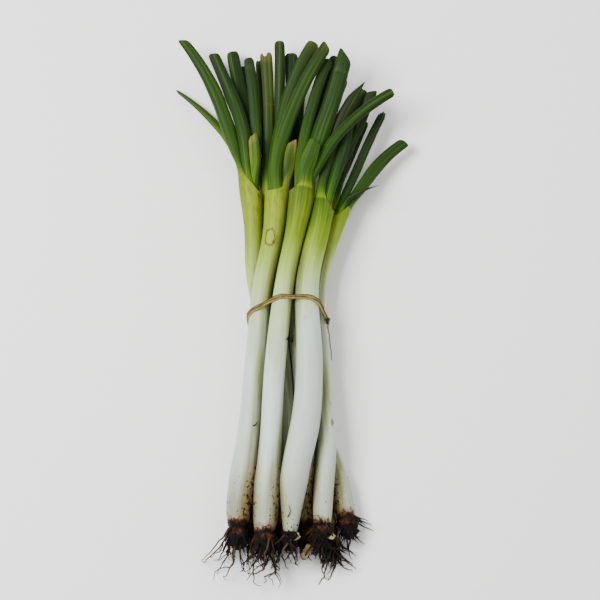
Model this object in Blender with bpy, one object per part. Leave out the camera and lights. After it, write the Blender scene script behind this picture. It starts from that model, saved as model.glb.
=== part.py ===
"""A bunch of long-white spring onions lying on its side, held by one rush tie at the waist.

Nine plants: each has a white shank, a tuft of roots under it and two to six hollow green
leaves above it, trimmed off square.  X runs across the bunch, Y from the roots to the leaf
tips and Z up from the surface.  Every size below is in millimetres.
"""
import math
from collections import namedtuple

import bmesh
import bpy
import numpy as np
from mathutils import Vector

MM = 0.001
STEP = 3.0            # distance between the stations of a shank or a leaf
SMOOTHED_OVER = 120.0 # length of strand over which a wished line is smoothed
GAP = 0.7             # clear space kept between neighbouring pieces
SEAT_GAP = 0.35       # clear space between a shank and the pieces that grow out of its ends
PRESS = 0.6           # how far a shank flattens against the surface it lies on
SHANK_SIDES = 12
LEAF_SIDES = 8
ROOT_SIDES = 10
RING_EVERY = 3        # stations from one ring of faces to the next

# How the strands settle against each other.
NEIGHBOUR_REACH = 7.0     # clear space across which two strands are still watched
NEIGHBOURS_EVERY = 20     # rounds between two searches for neighbours
EARLY_PUSH = 0.35
LATE_PUSH = 0.5
LATE_FROM = 0.8           # share of the rounds after which the strands are only pushed apart
LATE_STIFFNESS = 0.04
EARLY_SMOOTHINGS = 4
LEAN_EASE = 12.0          # length over which a leaf turns from its shank's way to its own
FULL_GIRTH_BY = 30.0      # length over which a leaf swells to its full girth
LATEST_FULL_SHARE = 0.5
FULL_GIRTH_TO = 0.6       # share of its length up to which a leaf keeps its full girth

TIE_RADIUS = 1.15
TIE_GAP = 0.35
TIE_SIDES = 6
TIE_SPACING = 3.0
TIE_SLICE = 0.4           # thickness of the slice of the bunch that the tie is drawn round
TIE_MID_HEIGHT = 22.0     # height at which the slanting tie crosses y = 0
TIE_SLOPE = 0.55          # how far the tie moves along y for each unit of height
TIE_LIFT_REACH = 9.0      # how far along y from the tie the shanks are lifted over it
LOOP_DIRECTIONS = 32
KNOT_RADII = (1.7, 2.8, 2.2)
KNOT_SEGMENTS = (10, 7)
KNOT_HEIGHT = 28.0
KNOT_STAND_OFF = 0.8
TAIL_RADIUS = 0.6
TAIL_LENGTH = 25.0
TAIL_SPREAD = 2.6
TAIL_DROOP = 6.0
TAIL_OFFSET = 0.4         # how far outside the knot's middle the tail starts
TAIL_RUN = 0.95           # share of its length that the tail runs towards the roots
TAIL_STATIONS = 9
TAIL_TAPER = 0.6

ROOT_LENGTH = 17.0
ROOT_TIP_ROOM = 1.5       # how much shorter the tuft is than the strand it is drawn along
ROOT_PROFILE = ((0.0, 0.80), (0.22, 0.98), (0.52, 0.90), (0.80, 0.58), (1.0, 0.22))
ROOT_LUMP = 0.10

# Where each shank lies across the bunch is given at these places along it, from the first
# station, a little above the roots, to the collar, where the leaves part.
ACROSS_AT = (-150, -115, -80, -40, 5, 30, 57, 77, 97)
HEIGHT_AT = (-150, -80, 5, 50, 97)
GIRTH_AT = (0.0, 0.05, 0.14, 0.30, 0.62, 0.84, 1.0)

Settling = namedtuple("Settling", "rounds stiffness hold sideways")
SHANK_SETTLING = Settling(500, 0.24, 0.02, 0.6)
LEAF_SETTLING = Settling(400, 0.20, 0.012, 0.35)

Plant = namedtuple("Plant", "name foot collar across height girth turn")
Leaf = namedtuple("Leaf", "plant number lean length rise girth")

PLANTS = (
    # Upper layer, seen from above.
    Plant("onion_1", -151, 95, (-36.5, -31.5, -27.3, -25, -20, -16.5, -12, -9.5, -9.5),
          (17, 20, 22, 27, 29), (7.0, 9.4, 9.6, 8.2, 7.0, 7.2, 8.0), 95),
    Plant("onion_2", -157, 93, (-18, -14.5, -13, -11.2, -6.4, -3.2, 3, 7, 10),
          (25, 34, 36, 37, 38), (6.4, 8.6, 9.3, 7.4, 7.1, 6.4, 7.4), 100),
    Plant("onion_3", -155, 85, (0, 4.3, 12, 14, 11.4, 11.4, 19.3, 24, 25.5),
          (24, 33, 33, 34, 33), (4.6, 6.6, 9.6, 10.2, 8.6, 7.8, 6.8), 150),
    Plant("onion_4", -151, 81, (22.5, 23, 23, 20, 17.5, 20, 27, 35.5, 45),
          (24, 23, 17, 20, 22), (5.6, 6.9, 7.2, 6.9, 6.4, 6.0, 6.0), 210),
    # Lower layer, mostly hidden.
    Plant("onion_5", -148, 107, (-24, -24, -22, -20, -18, -25.8, -26.6, -25.8, -28.8),
          (9, 9, 10, 13, 18), (5.8, 7.6, 8.0, 7.0, 6.3, 6.2, 7.8), 170),
    Plant("onion_6", -151, 99, (-7, -4.3, -2, -2, -9, -10, -12, -14, -16),
          (9, 15, 21, 12, 9), (5.8, 7.2, 7.4, 6.8, 6.3, 6.4, 7.0), 90),
    Plant("onion_7", -149, 98, (10.7, 13.5, 16, 11, 4, 4.5, 8, 10, 12),
          (9, 18, 20, 21, 22), (5.6, 7.2, 7.4, 6.8, 6.3, 6.3, 6.8), 60),
    Plant("onion_8", -144, 88, (42.5, 27.5, 16, 12, 10, 16, 23, 28, 31),
          (12, 8, 10, 6.5, 5.8), (5.8, 7.6, 8.2, 7.2, 6.4, 6.3, 6.6), 70),
    Plant("onion_9", -155, 99, (29, 19, 9, 1, -5, -5, 0, 3, 4),
          (8, 7, 10, 6.5, 5.8), (5.8, 7.2, 7.4, 6.8, 6.3, 6.2, 6.6), 100),
)

# lean: heading in degrees from +Y towards +X at the collar, half way and at the tip;
# rise: height of the tip; girth: half width half way and at the tip.
LEAVES = (
    Leaf("onion_5", 1, (-12, -23, -39), 113, 27, (5.2, 3.4)),
    Leaf("onion_5", 2, (-4, -17, -23), 97, 19, (4.4, 3.6)),
    Leaf("onion_5", 3, (4, -3, -6), 30, 30, (3.2, 2.6)),
    Leaf("onion_5", 4, (2, -4, -9), 88, 24, (3.6, 3.4)),
    Leaf("onion_5", 5, (2, -13, -10), 97, 11, (4.2, 4.0)),
    Leaf("onion_5", 6, (-20, -38, -54), 87, 6, (2.8, 1.1)),
    Leaf("onion_1", 1, (5, 20, 34), 112, 45, (4.7, 4.3)),
    Leaf("onion_1", 2, (24, 10, 9), 36, 38, (3.7, 2.6)),
    Leaf("onion_1", 3, (6, 13, 31), 113, 34, (4.6, 4.6)),
    Leaf("onion_2", 1, (14, 20, 20), 34, 52, (4.6, 4.0)),
    Leaf("onion_2", 2, (17, 42, 60), 96, 42, (3.4, 3.3)),
    Leaf("onion_2", 3, (23, 17, 14), 107, 44, (5.6, 4.7)),
    Leaf("onion_2", 4, (3, 13, 22), 98, 36, (3.6, 3.3)),
    Leaf("onion_3", 1, (14, 15, 38), 93, 39, (3.9, 3.2)),
    Leaf("onion_3", 2, (14, 16, 22), 89, 27, (3.8, 3.8)),
    Leaf("onion_3", 3, (24, 22, 28), 91, 32, (3.6, 3.4)),
    Leaf("onion_4", 1, (27, 22, 27), 80, 20, (2.9, 2.6)),
    Leaf("onion_4", 2, (48, 66, 75), 33, 29, (1.7, 0.6)),
    Leaf("onion_4", 3, (36, 34, 55), 71, 14, (4.0, 3.4)),
    Leaf("onion_6", 1, (4, 0, -5), 100, 22, (3.4, 4.2)),
    Leaf("onion_6", 2, (6, 4, -2), 108, 24, (3.4, 3.3)),
    Leaf("onion_6", 3, (-4, -4, -5), 99, 9, (2.3, 1.9)),
    Leaf("onion_6", 4, (-12, -9, -6), 97, 5, (3.2, 3.0)),
    Leaf("onion_7", 1, (-6, 10, 28), 99, 30, (4.3, 4.1)),
    Leaf("onion_7", 2, (-9, 4, 36), 92, 34, (2.0, 1.2)),
    Leaf("onion_7", 3, (14, 24, 22), 88, 18, (3.8, 3.5)),
    Leaf("onion_8", 1, (14, 18, 24), 88, 12, (3.8, 3.6)),
    Leaf("onion_8", 2, (24, 22, 24), 70, 6, (3.6, 3.3)),
    Leaf("onion_9", 1, (-3, -1, -3), 101, 17, (4.1, 4.0)),
    Leaf("onion_9", 2, (-3, 3, 7), 92, 5, (3.3, 3.0)),
)


class Strand:
    """A shank or a leaf while it finds its place: stations, half widths and its wished path."""

    def __init__(self, name, plant, wished, girth):
        self.name = name
        self.plant = plant
        self.wished = np.array(wished, dtype=float)
        self.path = self.wished.copy()
        self.girth = np.array(girth, dtype=float)
        self.free = np.ones(len(self.path))


def smooth_between(at, places, values):
    """Values read off a soft curve through the given places."""
    line = np.interp(at, places, values)
    for _ in range(int(SMOOTHED_OVER / STEP)):
        line[1:-1] += 0.25 * (line[:-2] + line[2:] - 2.0 * line[1:-1])
    return line


def shank_strand(plant):
    """The wished lie of a shank, carried on past its foot through the root tuft."""
    along = np.arange(plant.foot - ROOT_LENGTH, plant.collar + 0.5 * STEP, STEP)
    along += plant.collar - along[-1]
    across = smooth_between(along, ACROSS_AT, plant.across)
    height = smooth_between(along, HEIGHT_AT, plant.height)
    share = (along - plant.foot) / (plant.collar - plant.foot)
    girth = np.interp(share, GIRTH_AT, plant.girth)
    return Strand(plant.name, plant.name, np.column_stack((across, along, height)), girth)


def floor_height(path, girth):
    """Lowest height a station may have: a little pressed down, and lifted where the tie runs."""
    lift = 2.0 * (TIE_RADIUS + TIE_GAP)
    under_tie = np.abs(path[:, 1] + TIE_SLOPE * TIE_MID_HEIGHT) < TIE_LIFT_REACH
    return np.where(under_tie, girth + lift, girth - PRESS)


def close_pairs(points, girths, owner, kin):
    """Pairs of stations from different strands that are near enough to touch."""
    apart = np.linalg.norm(points[:, None, :] - points[None, :, :], axis=2)
    near = apart < girths[:, None] + girths[None, :] + NEIGHBOUR_REACH
    near &= owner[:, None] < owner[None, :]
    near &= ~((kin[:, None] >= 0) & (kin[:, None] == owner[None, :]))
    near &= ~((kin[None, :] >= 0) & (kin[None, :] == owner[:, None]))
    return np.nonzero(near)


def settle(strands, settling):
    """Move the strands apart until neighbours keep their gap, staying close to the wished paths."""
    points = np.concatenate([strand.path for strand in strands])
    wished = np.concatenate([strand.wished for strand in strands])
    girths = np.concatenate([strand.girth for strand in strands])
    free = np.concatenate([strand.free for strand in strands])[:, None]
    owner = np.concatenate([np.full(len(s.path), i) for i, s in enumerate(strands)])
    shank_of = {strand.name: i for i, strand in enumerate(strands) if strand.name == strand.plant}
    parent = [-1 if s.name == s.plant else shank_of[s.plant] for s in strands]
    kin = np.array(parent)[owner]
    inner = (owner[1:-1] == owner[:-2]) & (owner[1:-1] == owner[2:])
    inner = inner[:, None] * free[1:-1]
    rounds, stiffness, hold, sideways = settling
    yielding = np.array((sideways, sideways, 1.0))
    for turn in range(rounds):
        if turn % NEIGHBOURS_EVERY == 0:
            first, second = close_pairs(points, girths, owner, kin)
            share = free[first] + free[second]
            share[share == 0] = 1.0
        between = points[first] - points[second]
        apart = np.maximum(np.linalg.norm(between, axis=1), 1e-6)
        excess = np.maximum(girths[first] + girths[second] + GAP - apart, 0.0)
        push = between * (excess / apart)[:, None] * yielding
        late = turn > LATE_FROM * rounds
        gain = LATE_PUSH if late else EARLY_PUSH
        for axis in range(3):
            one = (push[:, axis:axis + 1] * free[first] / share)[:, 0]
            two = (push[:, axis:axis + 1] * free[second] / share)[:, 0]
            points[:, axis] += gain * np.bincount(first, one, len(points))
            points[:, axis] -= gain * np.bincount(second, two, len(points))
        shift = points - wished
        if not late:
            points -= hold * shift * free
        soft = LATE_STIFFNESS if late else stiffness
        for _ in range(1 if late else EARLY_SMOOTHINGS):
            shift = points - wished
            points[1:-1] += soft * inner * (shift[:-2] + shift[2:] - 2.0 * shift[1:-1])
        lowest = floor_height(points, girths)
        points[:, 2] = np.where(free[:, 0] > 0, np.maximum(points[:, 2], lowest), points[:, 2])
    start = 0
    for strand in strands:
        strand.path = points[start:start + len(strand.path)]
        start += len(strand.path)


def tangents(path):
    """Unit direction of travel at every station."""
    run = np.gradient(path, axis=0)
    return run / np.linalg.norm(run, axis=1)[:, None]


def leaf_strand(leaf, shank, seat):
    """The wished path of a leaf: it leaves its seat along the shank, then leans its own way."""
    count = max(4, int(round(leaf.length / STEP)))
    share = np.linspace(0.0, 1.0, count + 1)
    step = leaf.length / count
    foot_run = tangents(shank.path)[-1]
    start_lean = math.degrees(math.atan2(foot_run[0], foot_run[1]))
    lean = np.interp(share, (0.0, 0.5, 1.0), leaf.lean)
    blend = np.clip((share * leaf.length - STEP) / LEAN_EASE, 0.0, 1.0)
    lean = np.radians(start_lean + (lean - start_lean) * blend)
    path = np.empty((count + 1, 3))
    path[0] = seat
    path[1:, 0] = seat[0] + np.cumsum(np.sin(lean[1:])) * step
    path[1:, 1] = seat[1] + np.cumsum(np.cos(lean[1:])) * step
    ease = share * share * (3.0 - 2.0 * share)
    carry = share * (1.0 - share) ** 2
    slope = foot_run[2] / math.hypot(foot_run[0], foot_run[1])
    path[:, 2] = seat[2] + (leaf.rise - seat[2]) * ease + slope * leaf.length * carry
    path[1:] += seat + step * foot_run - path[1]
    strand = Strand(f"{leaf.plant}_leaf_{leaf.number}", leaf.plant, path, np.zeros(count + 1))
    strand.free[:2] = 0.0
    return strand


def leaf_girth(leaf, count, seat_girth):
    """Half widths of a leaf: slim where it leaves the collar, fullest half way."""
    share = np.linspace(0.0, 1.0, count)
    full, tip = leaf.girth
    reach = min(LATEST_FULL_SHARE, FULL_GIRTH_BY / leaf.length)
    return np.interp(share, (0.0, reach, FULL_GIRTH_TO, 1.0), (seat_girth, full, full, tip))


def seats(shank, count, turn):
    """Places in a ring on top of a shank, one for each of its leaves, and their half width."""
    top = shank.girth[-1]
    spread = math.sin(math.pi / count)
    seat_girth = top * spread / (1.0 + spread)
    along = tangents(shank.path)[-1]
    side = np.cross(along, (0.0, 0.0, 1.0))
    side /= np.linalg.norm(side)
    up = np.cross(side, along)
    places = []
    for index in range(count):
        angle = math.radians(turn - 360.0 * index / count)
        ring = (top - seat_girth) * (math.cos(angle) * side + math.sin(angle) * up)
        places.append(shank.path[-1] + SEAT_GAP * along + ring)
    return places, seat_girth - 0.5 * GAP


def grow_leaves(shanks):
    """Every leaf strand, seated on the settled shanks."""
    grown = []
    for plant in PLANTS:
        own = [leaf for leaf in LEAVES if leaf.plant == plant.name]
        places, seat_girth = seats(shanks[plant.name], len(own), plant.turn)
        for leaf, place in zip(own, places):
            strand = leaf_strand(leaf, shanks[plant.name], place)
            strand.girth = leaf_girth(leaf, len(strand.path), min(seat_girth, leaf.girth[0]))
            grown.append(strand)
    return grown


def material(name, colour, roughness):
    """A plain Principled finish for one sub-part."""
    finish = bpy.data.materials.new(name)
    finish.use_nodes = True
    shader = finish.node_tree.nodes["Principled BSDF"]
    shader.inputs["Base Color"].default_value = (*colour, 1.0)
    shader.inputs["Roughness"].default_value = roughness
    shader.inputs["Metallic"].default_value = 0.0
    return finish


def ring_frames(path):
    """Direction of travel with two level-keeping side directions at every station."""
    along = tangents(path)
    side = np.cross(along, (0.0, 0.0, 1.0))
    side /= np.linalg.norm(side, axis=1)[:, None]
    up = np.cross(side, along)
    return side, up


def ring_stations(count, stride):
    """Indices of the stations that get a ring of faces, spread evenly and with both ends."""
    rings = max(2, round((count - 1) / stride) + 1)
    return [round(share * (count - 1) / (rings - 1)) for share in range(rings)]


def tube_mesh(name, path, girth, sides, stride=1, lumps=0.0):
    """A closed tube round a path, flattened where it would sink below the surface."""
    side, up = ring_frames(path)
    origin = path[0]
    mesh = bmesh.new()
    rings = []
    for index in ring_stations(len(path), stride):
        centre = path[index]
        ring = []
        for corner in range(sides):
            angle = 2.0 * math.pi * (corner + 0.5) / sides
            bump = 1.0 - lumps * (0.5 + 0.5 * math.sin(3.0 * angle + 2.1 * index))
            reach = girth[index] * bump
            spot = centre + reach * (math.cos(angle) * side[index] + math.sin(angle) * up[index])
            spot[2] = max(spot[2], 0.0)
            ring.append(mesh.verts.new(Vector(spot - origin) * MM))
        rings.append(ring)
    for lower, upper in zip(rings, rings[1:]):
        for corner in range(sides):
            after = (corner + 1) % sides
            mesh.faces.new((lower[corner], lower[after], upper[after], upper[corner]))
    mesh.faces.new(reversed(rings[0]))
    mesh.faces.new(rings[-1])
    return finish_mesh(name, mesh, origin)


def finish_mesh(name, mesh, origin):
    """An object at its own origin, smooth on the round and with its faces turned outwards."""
    bmesh.ops.recalc_face_normals(mesh, faces=mesh.faces)
    for face in mesh.faces:
        face.smooth = len(face.verts) <= 4
    data = bpy.data.meshes.new(name)
    mesh.to_mesh(data)
    mesh.free()
    piece = bpy.data.objects.new(name, data)
    piece.location = Vector(origin) * MM
    bpy.context.collection.objects.link(piece)
    return piece


def shank_and_root_paths(plant, strand):
    """Split a settled shank strand at the foot into the shank and the root tuft."""
    foot = int(np.argmin(np.abs(strand.path[:, 1] - plant.foot)))
    return strand.path[foot:], strand.girth[foot:], strand.path[:foot + 1]


def root_tuft(plant, strand, finish):
    """The matted root tuft, a lumpy dome just under the foot of the shank."""
    shank_path, shank_girth, root_path = shank_and_root_paths(plant, strand)
    run = tangents(strand.path)[len(root_path) - 1]
    bend = root_path[0] - root_path[-1]
    reach = np.linalg.norm(bend)
    centres = []
    girths = []
    for share, width in ROOT_PROFILE:
        centre = shank_path[0] - SEAT_GAP * run + bend * share * (ROOT_LENGTH - ROOT_TIP_ROOM) / reach
        centres.append(centre)
        girths.append(width * shank_girth[0])
    centres = np.array(centres[::-1])
    tuft = tube_mesh(f"{plant.name}_roots", centres, girths[::-1], ROOT_SIDES, lumps=ROOT_LUMP)
    tuft.data.materials.append(finish)
    return tuft


def tie_frame():
    """Middle of the slanting tie and its two in-plane directions."""
    lean = math.atan(TIE_SLOPE)
    middle = np.array((0.0, 0.0, TIE_MID_HEIGHT))
    across = np.array((1.0, 0.0, 0.0))
    upward = np.array((0.0, math.sin(lean), math.cos(lean)))
    return middle, across, upward, np.cross(across, upward)


def hull(points):
    """Corners of the tight loop round a set of flat points, anticlockwise."""
    points = sorted(map(tuple, points))

    def half(run):
        chain = []
        for spot in run:
            while len(chain) > 1:
                (ax, ay), (bx, by) = chain[-2], chain[-1]
                if (bx - ax) * (spot[1] - ay) - (by - ay) * (spot[0] - ax) > 0:
                    break
                chain.pop()
            chain.append(spot)
        return chain[:-1]

    return np.array(half(points) + half(points[::-1]))


def tie_loop(strands):
    """The taut loop round all the shanks in the plane of the tie."""
    middle, across, upward, facing = tie_frame()
    turn = np.linspace(0.0, 2.0 * math.pi, LOOP_DIRECTIONS, endpoint=False)
    flat = []
    for strand in strands:
        stations = np.arange(len(strand.path))
        fine = np.arange(0.0, len(strand.path) - 1.0, TIE_SLICE / STEP)
        path = np.column_stack([np.interp(fine, stations, strand.path[:, axis]) for axis in range(3)])
        girth = np.interp(fine, stations, strand.girth)[:, None]
        side, up = ring_frames(path)
        for angle in turn:
            skin = path + girth * (math.cos(angle) * side + math.sin(angle) * up) - middle
            near = np.abs(skin @ facing) < TIE_SLICE
            flat.append(np.column_stack((skin[near] @ across, skin[near] @ upward)))
    corners = hull(np.concatenate(flat))
    stand_off = (TIE_RADIUS + TIE_GAP) / upward[2]
    halo = stand_off * np.column_stack((np.cos(turn), np.sin(turn)))
    corners = hull((corners[:, None, :] + halo[None, :, :]).reshape(-1, 2))
    closed = np.vstack((corners, corners[:1]))
    travelled = np.concatenate(((0.0,), np.cumsum(np.linalg.norm(np.diff(closed, axis=0), axis=1))))
    count = int(round(travelled[-1] / TIE_SPACING))
    marks = np.linspace(0.0, travelled[-1], count, endpoint=False)
    flat_loop = np.column_stack([np.interp(marks, travelled, closed[:, axis]) for axis in range(2)])
    return middle + flat_loop[:, :1] * across + flat_loop[:, 1:] * upward


def tie_band(loop, finish):
    """The band of the tie, a closed ring of round section."""
    facing = tie_frame()[3]
    mesh = bmesh.new()
    rings = []
    for index, centre in enumerate(loop):
        run = loop[(index + 1) % len(loop)] - loop[index - 1]
        outward = np.cross(run, facing)
        outward /= np.linalg.norm(outward)
        ring = []
        for corner in range(TIE_SIDES):
            angle = 2.0 * math.pi * corner / TIE_SIDES
            reach = TIE_RADIUS * (math.cos(angle) * outward + math.sin(angle) * facing)
            ring.append(mesh.verts.new(Vector(centre + reach - loop[0]) * MM))
        rings.append(ring)
    for index, ring in enumerate(rings):
        after = rings[(index + 1) % len(rings)]
        for corner in range(TIE_SIDES):
            beside = (corner + 1) % TIE_SIDES
            mesh.faces.new((ring[corner], ring[beside], after[beside], after[corner]))
    band = finish_mesh("tie_band", mesh, loop[0])
    band.data.materials.append(finish)


def tie_knot(loop, finish):
    """The knot that closes the tie, beside its right-hand edge; returns its middle."""
    beside = (loop[:, 0] > 0) & (np.abs(loop[:, 2] - KNOT_HEIGHT) < TIE_SPACING)
    right = loop[beside][np.argmax(loop[beside][:, 0])]
    middle = right + np.array((KNOT_STAND_OFF, -TIE_RADIUS - TIE_GAP - KNOT_RADII[1], 0.0))
    mesh = bmesh.new()
    around, along = KNOT_SEGMENTS
    bmesh.ops.create_uvsphere(mesh, u_segments=around, v_segments=along, radius=1.0)
    bmesh.ops.scale(mesh, vec=Vector(KNOT_RADII) * MM, verts=mesh.verts)
    knot = finish_mesh("tie_knot", mesh, middle)
    knot.data.materials.append(finish)
    return middle


def tie_tail(knot, finish):
    """The loose end of the tie: it leaves the knot towards the roots and droops."""
    share = np.linspace(0.0, 1.0, TAIL_STATIONS)
    path = np.empty((len(share), 3))
    path[:, 0] = knot[0] + TAIL_OFFSET + TAIL_SPREAD * share
    path[:, 1] = knot[1] - KNOT_RADII[1] - SEAT_GAP - TAIL_RUN * TAIL_LENGTH * share
    path[:, 2] = knot[2] - TAIL_DROOP * share * share
    girth = np.interp(share, (0.0, 1.0), (TAIL_RADIUS, TAIL_TAPER * TAIL_RADIUS))
    tail = tube_mesh("tie_tail", path, girth, TIE_SIDES)
    tail.data.materials.append(finish)


def centre_on_origin():
    """Hang everything from one empty so the middle of the footprint sits at the origin."""
    bpy.context.view_layer.update()
    pieces = [piece for piece in bpy.data.objects if piece.type == "MESH"]
    spots = [piece.matrix_world @ Vector(spot) for piece in pieces for spot in piece.bound_box]
    holder = bpy.data.objects.new("bunch", None)
    bpy.context.collection.objects.link(holder)
    for axis in range(2):
        low = min(spot[axis] for spot in spots)
        high = max(spot[axis] for spot in spots)
        holder.location[axis] = -0.5 * (low + high)
    holder.location[2] = -min(spot[2] for spot in spots)
    for piece in pieces:
        piece.parent = holder


def main():
    """Settle the shanks, seat and settle the leaves, then model every piece."""
    for old in list(bpy.data.objects):
        bpy.data.objects.remove(old, do_unlink=True)
    white = material("white_shank", (0.74, 0.78, 0.66), 0.35)
    green = material("green_leaf", (0.10, 0.24, 0.03), 0.42)
    brown = material("root_fibre", (0.06, 0.035, 0.02), 0.95)
    rush = material("dry_rush", (0.42, 0.31, 0.11), 0.85)

    shanks = {plant.name: shank_strand(plant) for plant in PLANTS}
    settle(list(shanks.values()), SHANK_SETTLING)
    leaves = grow_leaves(shanks)
    for strand in shanks.values():
        strand.free[:] = 0.0
    settle(list(shanks.values()) + leaves, LEAF_SETTLING)

    for plant in PLANTS:
        strand = shanks[plant.name]
        path, girth, _ = shank_and_root_paths(plant, strand)
        shank = tube_mesh(f"{plant.name}_shank", path, girth, SHANK_SIDES, RING_EVERY)
        shank.data.materials.append(white)
        root_tuft(plant, strand, brown)
    for strand in leaves:
        blade = tube_mesh(strand.name, strand.path, strand.girth, LEAF_SIDES, RING_EVERY)
        blade.data.materials.append(green)

    loop = tie_loop(shanks.values())
    tie_band(loop, rush)
    knot = tie_knot(loop, rush)
    tie_tail(knot, rush)
    centre_on_origin()


main()
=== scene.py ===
# %% [markdown]
# # A bunch of spring onions
#
# Nine long-white spring onions lie on a table, held by one rush tie at the waist. This lesson
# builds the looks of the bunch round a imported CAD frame. The frame says where each shank, leaf,
# root tuft and the tie lie, and the lesson gives each of them the shape and finish of the real
# thing: sheaths that open into hollow leaves, wiry roots with soil in them, and a rush tie.

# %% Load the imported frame
import math

import bpy
import numpy as np
from mathutils import Matrix, Vector, geometry, noise


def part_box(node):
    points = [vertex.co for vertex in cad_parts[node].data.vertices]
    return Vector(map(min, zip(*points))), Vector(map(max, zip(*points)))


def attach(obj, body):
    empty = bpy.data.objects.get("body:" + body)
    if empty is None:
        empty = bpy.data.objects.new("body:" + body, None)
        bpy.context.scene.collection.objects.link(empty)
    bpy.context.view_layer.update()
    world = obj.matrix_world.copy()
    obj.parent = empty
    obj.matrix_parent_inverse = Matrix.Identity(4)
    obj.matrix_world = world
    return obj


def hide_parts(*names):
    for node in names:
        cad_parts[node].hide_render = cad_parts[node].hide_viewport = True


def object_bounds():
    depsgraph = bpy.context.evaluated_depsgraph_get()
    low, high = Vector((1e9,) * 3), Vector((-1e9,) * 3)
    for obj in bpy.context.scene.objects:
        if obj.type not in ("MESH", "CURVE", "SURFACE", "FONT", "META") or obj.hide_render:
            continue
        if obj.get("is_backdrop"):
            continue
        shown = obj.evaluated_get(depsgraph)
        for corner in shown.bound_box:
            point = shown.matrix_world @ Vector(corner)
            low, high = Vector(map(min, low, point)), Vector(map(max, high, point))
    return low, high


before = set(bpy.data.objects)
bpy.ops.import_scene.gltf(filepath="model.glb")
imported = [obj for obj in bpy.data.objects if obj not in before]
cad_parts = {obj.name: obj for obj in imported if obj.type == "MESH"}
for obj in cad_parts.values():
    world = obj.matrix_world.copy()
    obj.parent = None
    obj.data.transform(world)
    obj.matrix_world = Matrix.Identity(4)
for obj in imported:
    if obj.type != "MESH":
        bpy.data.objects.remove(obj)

MM = 0.001
cad_low, cad_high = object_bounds()
print("CAD box in mm:", [round(side / MM) for side in cad_high - cad_low])

# %% [markdown]
# ## Camera, table and daylight
#
# The bunch is seen from far off with a long lens, so that its lines stay parallel, from well
# above the roots. The light is a big soft window above and to the left, over an even pale room.
# A small lamp would draw hard streaks on the wet, round shanks, so every lamp is wide.

# %% Camera, table and lights
LENS = 252.0
CAMERA_DISTANCE = 3.0
CAMERA_ELEVATION = math.radians(76)
LOOK_AT = Vector((5.8, -4.8, 22.0)) * MM
TABLE_DROP = 0.3 * MM
ROOM_LIGHT = 0.75

camera_data = bpy.data.cameras.new("camera")
camera_data.lens = LENS
camera = bpy.data.objects.new("camera", camera_data)
camera.location = LOOK_AT + CAMERA_DISTANCE * Vector(
    (0, -math.cos(CAMERA_ELEVATION), math.sin(CAMERA_ELEVATION)))
camera.rotation_euler = (math.pi / 2 - CAMERA_ELEVATION, 0, 0)
bpy.context.scene.collection.objects.link(camera)
bpy.context.scene.camera = camera


def area_lamp(name, place, size, power):
    """One wide square lamp that faces the middle of the bunch."""
    data = bpy.data.lights.new(name, "AREA")
    data.size = size
    data.energy = power
    lamp = bpy.data.objects.new(name, data)
    lamp.location = place
    lamp.rotation_euler = (LOOK_AT - lamp.location).to_track_quat("-Z", "Y").to_euler()
    bpy.context.scene.collection.objects.link(lamp)


area_lamp("window_light", Vector((-0.75, 0.1, 1.35)), 0.7, 40.0)
area_lamp("fill_light", Vector((0.9, 0.6, 1.1)), 1.0, 8.0)
print("camera to bunch in m:", CAMERA_DISTANCE)

# %% [markdown]
# ## Colours and nodes
#
# Colours are written as the hex values that a paint chart gives, and one function turns them to
# the linear numbers that the renderer works with. One more function adds a node of any kind,
# with its settings, its inputs and the links into it, so that each material reads as a recipe.

# %% Colour and node helpers
def colour(code):
    """An sRGB hex colour as linear red, green, blue and alpha."""
    parts = [int(code[i:i + 2], 16) / 255 for i in (1, 3, 5)]
    return [c / 12.92 if c <= 0.04045 else ((c + 0.055) / 1.055) ** 2.4 for c in parts] + [1.0]


def add(tree, kind, inputs=None, stops=None, **settings):
    """One node: settings are its properties, inputs are values, or sockets that it links to."""
    made = tree.nodes.new(kind)
    for key, value in settings.items():
        setattr(made, key, value)
    for key, value in (inputs or {}).items():
        if isinstance(value, bpy.types.Node):
            value = value.outputs[0]
        if isinstance(value, bpy.types.NodeSocket):
            tree.links.new(value, made.inputs[key])
        else:
            made.inputs[key].default_value = value
    if stops:
        elements = made.color_ramp.elements
        while len(elements) < len(stops):
            elements.new(1.0)
        for element, (place, code) in zip(elements, stops):
            element.position = place
            element.color = colour(code)
    return made


def new_material(name):
    """An empty node material and its tree."""
    material = bpy.data.materials.new(name)
    material.use_nodes = True
    material.node_tree.nodes.clear()
    return material, material.node_tree


def maths(tree, operation, a, b=0.0, c=0.0):
    """Arithmetic on numbers or sockets."""
    return add(tree, "ShaderNodeMath", {0: a, 1: b, 2: c}, operation=operation).outputs[0]


def blend(tree, share, first, second):
    """Two colours mixed by a share."""
    return add(tree, "ShaderNodeMix", {0: share, 6: first, 7: second},
               data_type="RGBA").outputs[2]


def finish_with(tree, shader):
    """The shader that the surface shows."""
    add(tree, "ShaderNodeOutputMaterial", {"Surface": shader})


def soft_step(low, high, value):
    """0 below low, 1 above high and a smooth curve between them."""
    share = np.clip((np.asarray(value, dtype=float) - low) / (high - low), 0.0, 1.0)
    return share * share * (3.0 - 2.0 * share)


# %% [markdown]
# The table is board with a matte, nearly white paint. It has hardly any gloss, so it throws soft
# light back up under the bunch and takes the soft shadow that shows the bunch lying on it.

# %% Pale table
table_material, tree = new_material("pale_painted_board")
finish_with(tree, add(tree, "ShaderNodeBsdfPrincipled", {
    "Base Color": colour("#FBFBFA"), "Roughness": 0.9, "Specular IOR Level": 0.2}))
world = bpy.data.worlds.new("room")
world.use_nodes = True
world.node_tree.nodes["Background"].inputs["Color"].default_value = (1.0, 1.0, 1.0, 1.0)
world.node_tree.nodes["Background"].inputs["Strength"].default_value = ROOM_LIGHT
bpy.context.scene.world = world

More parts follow.
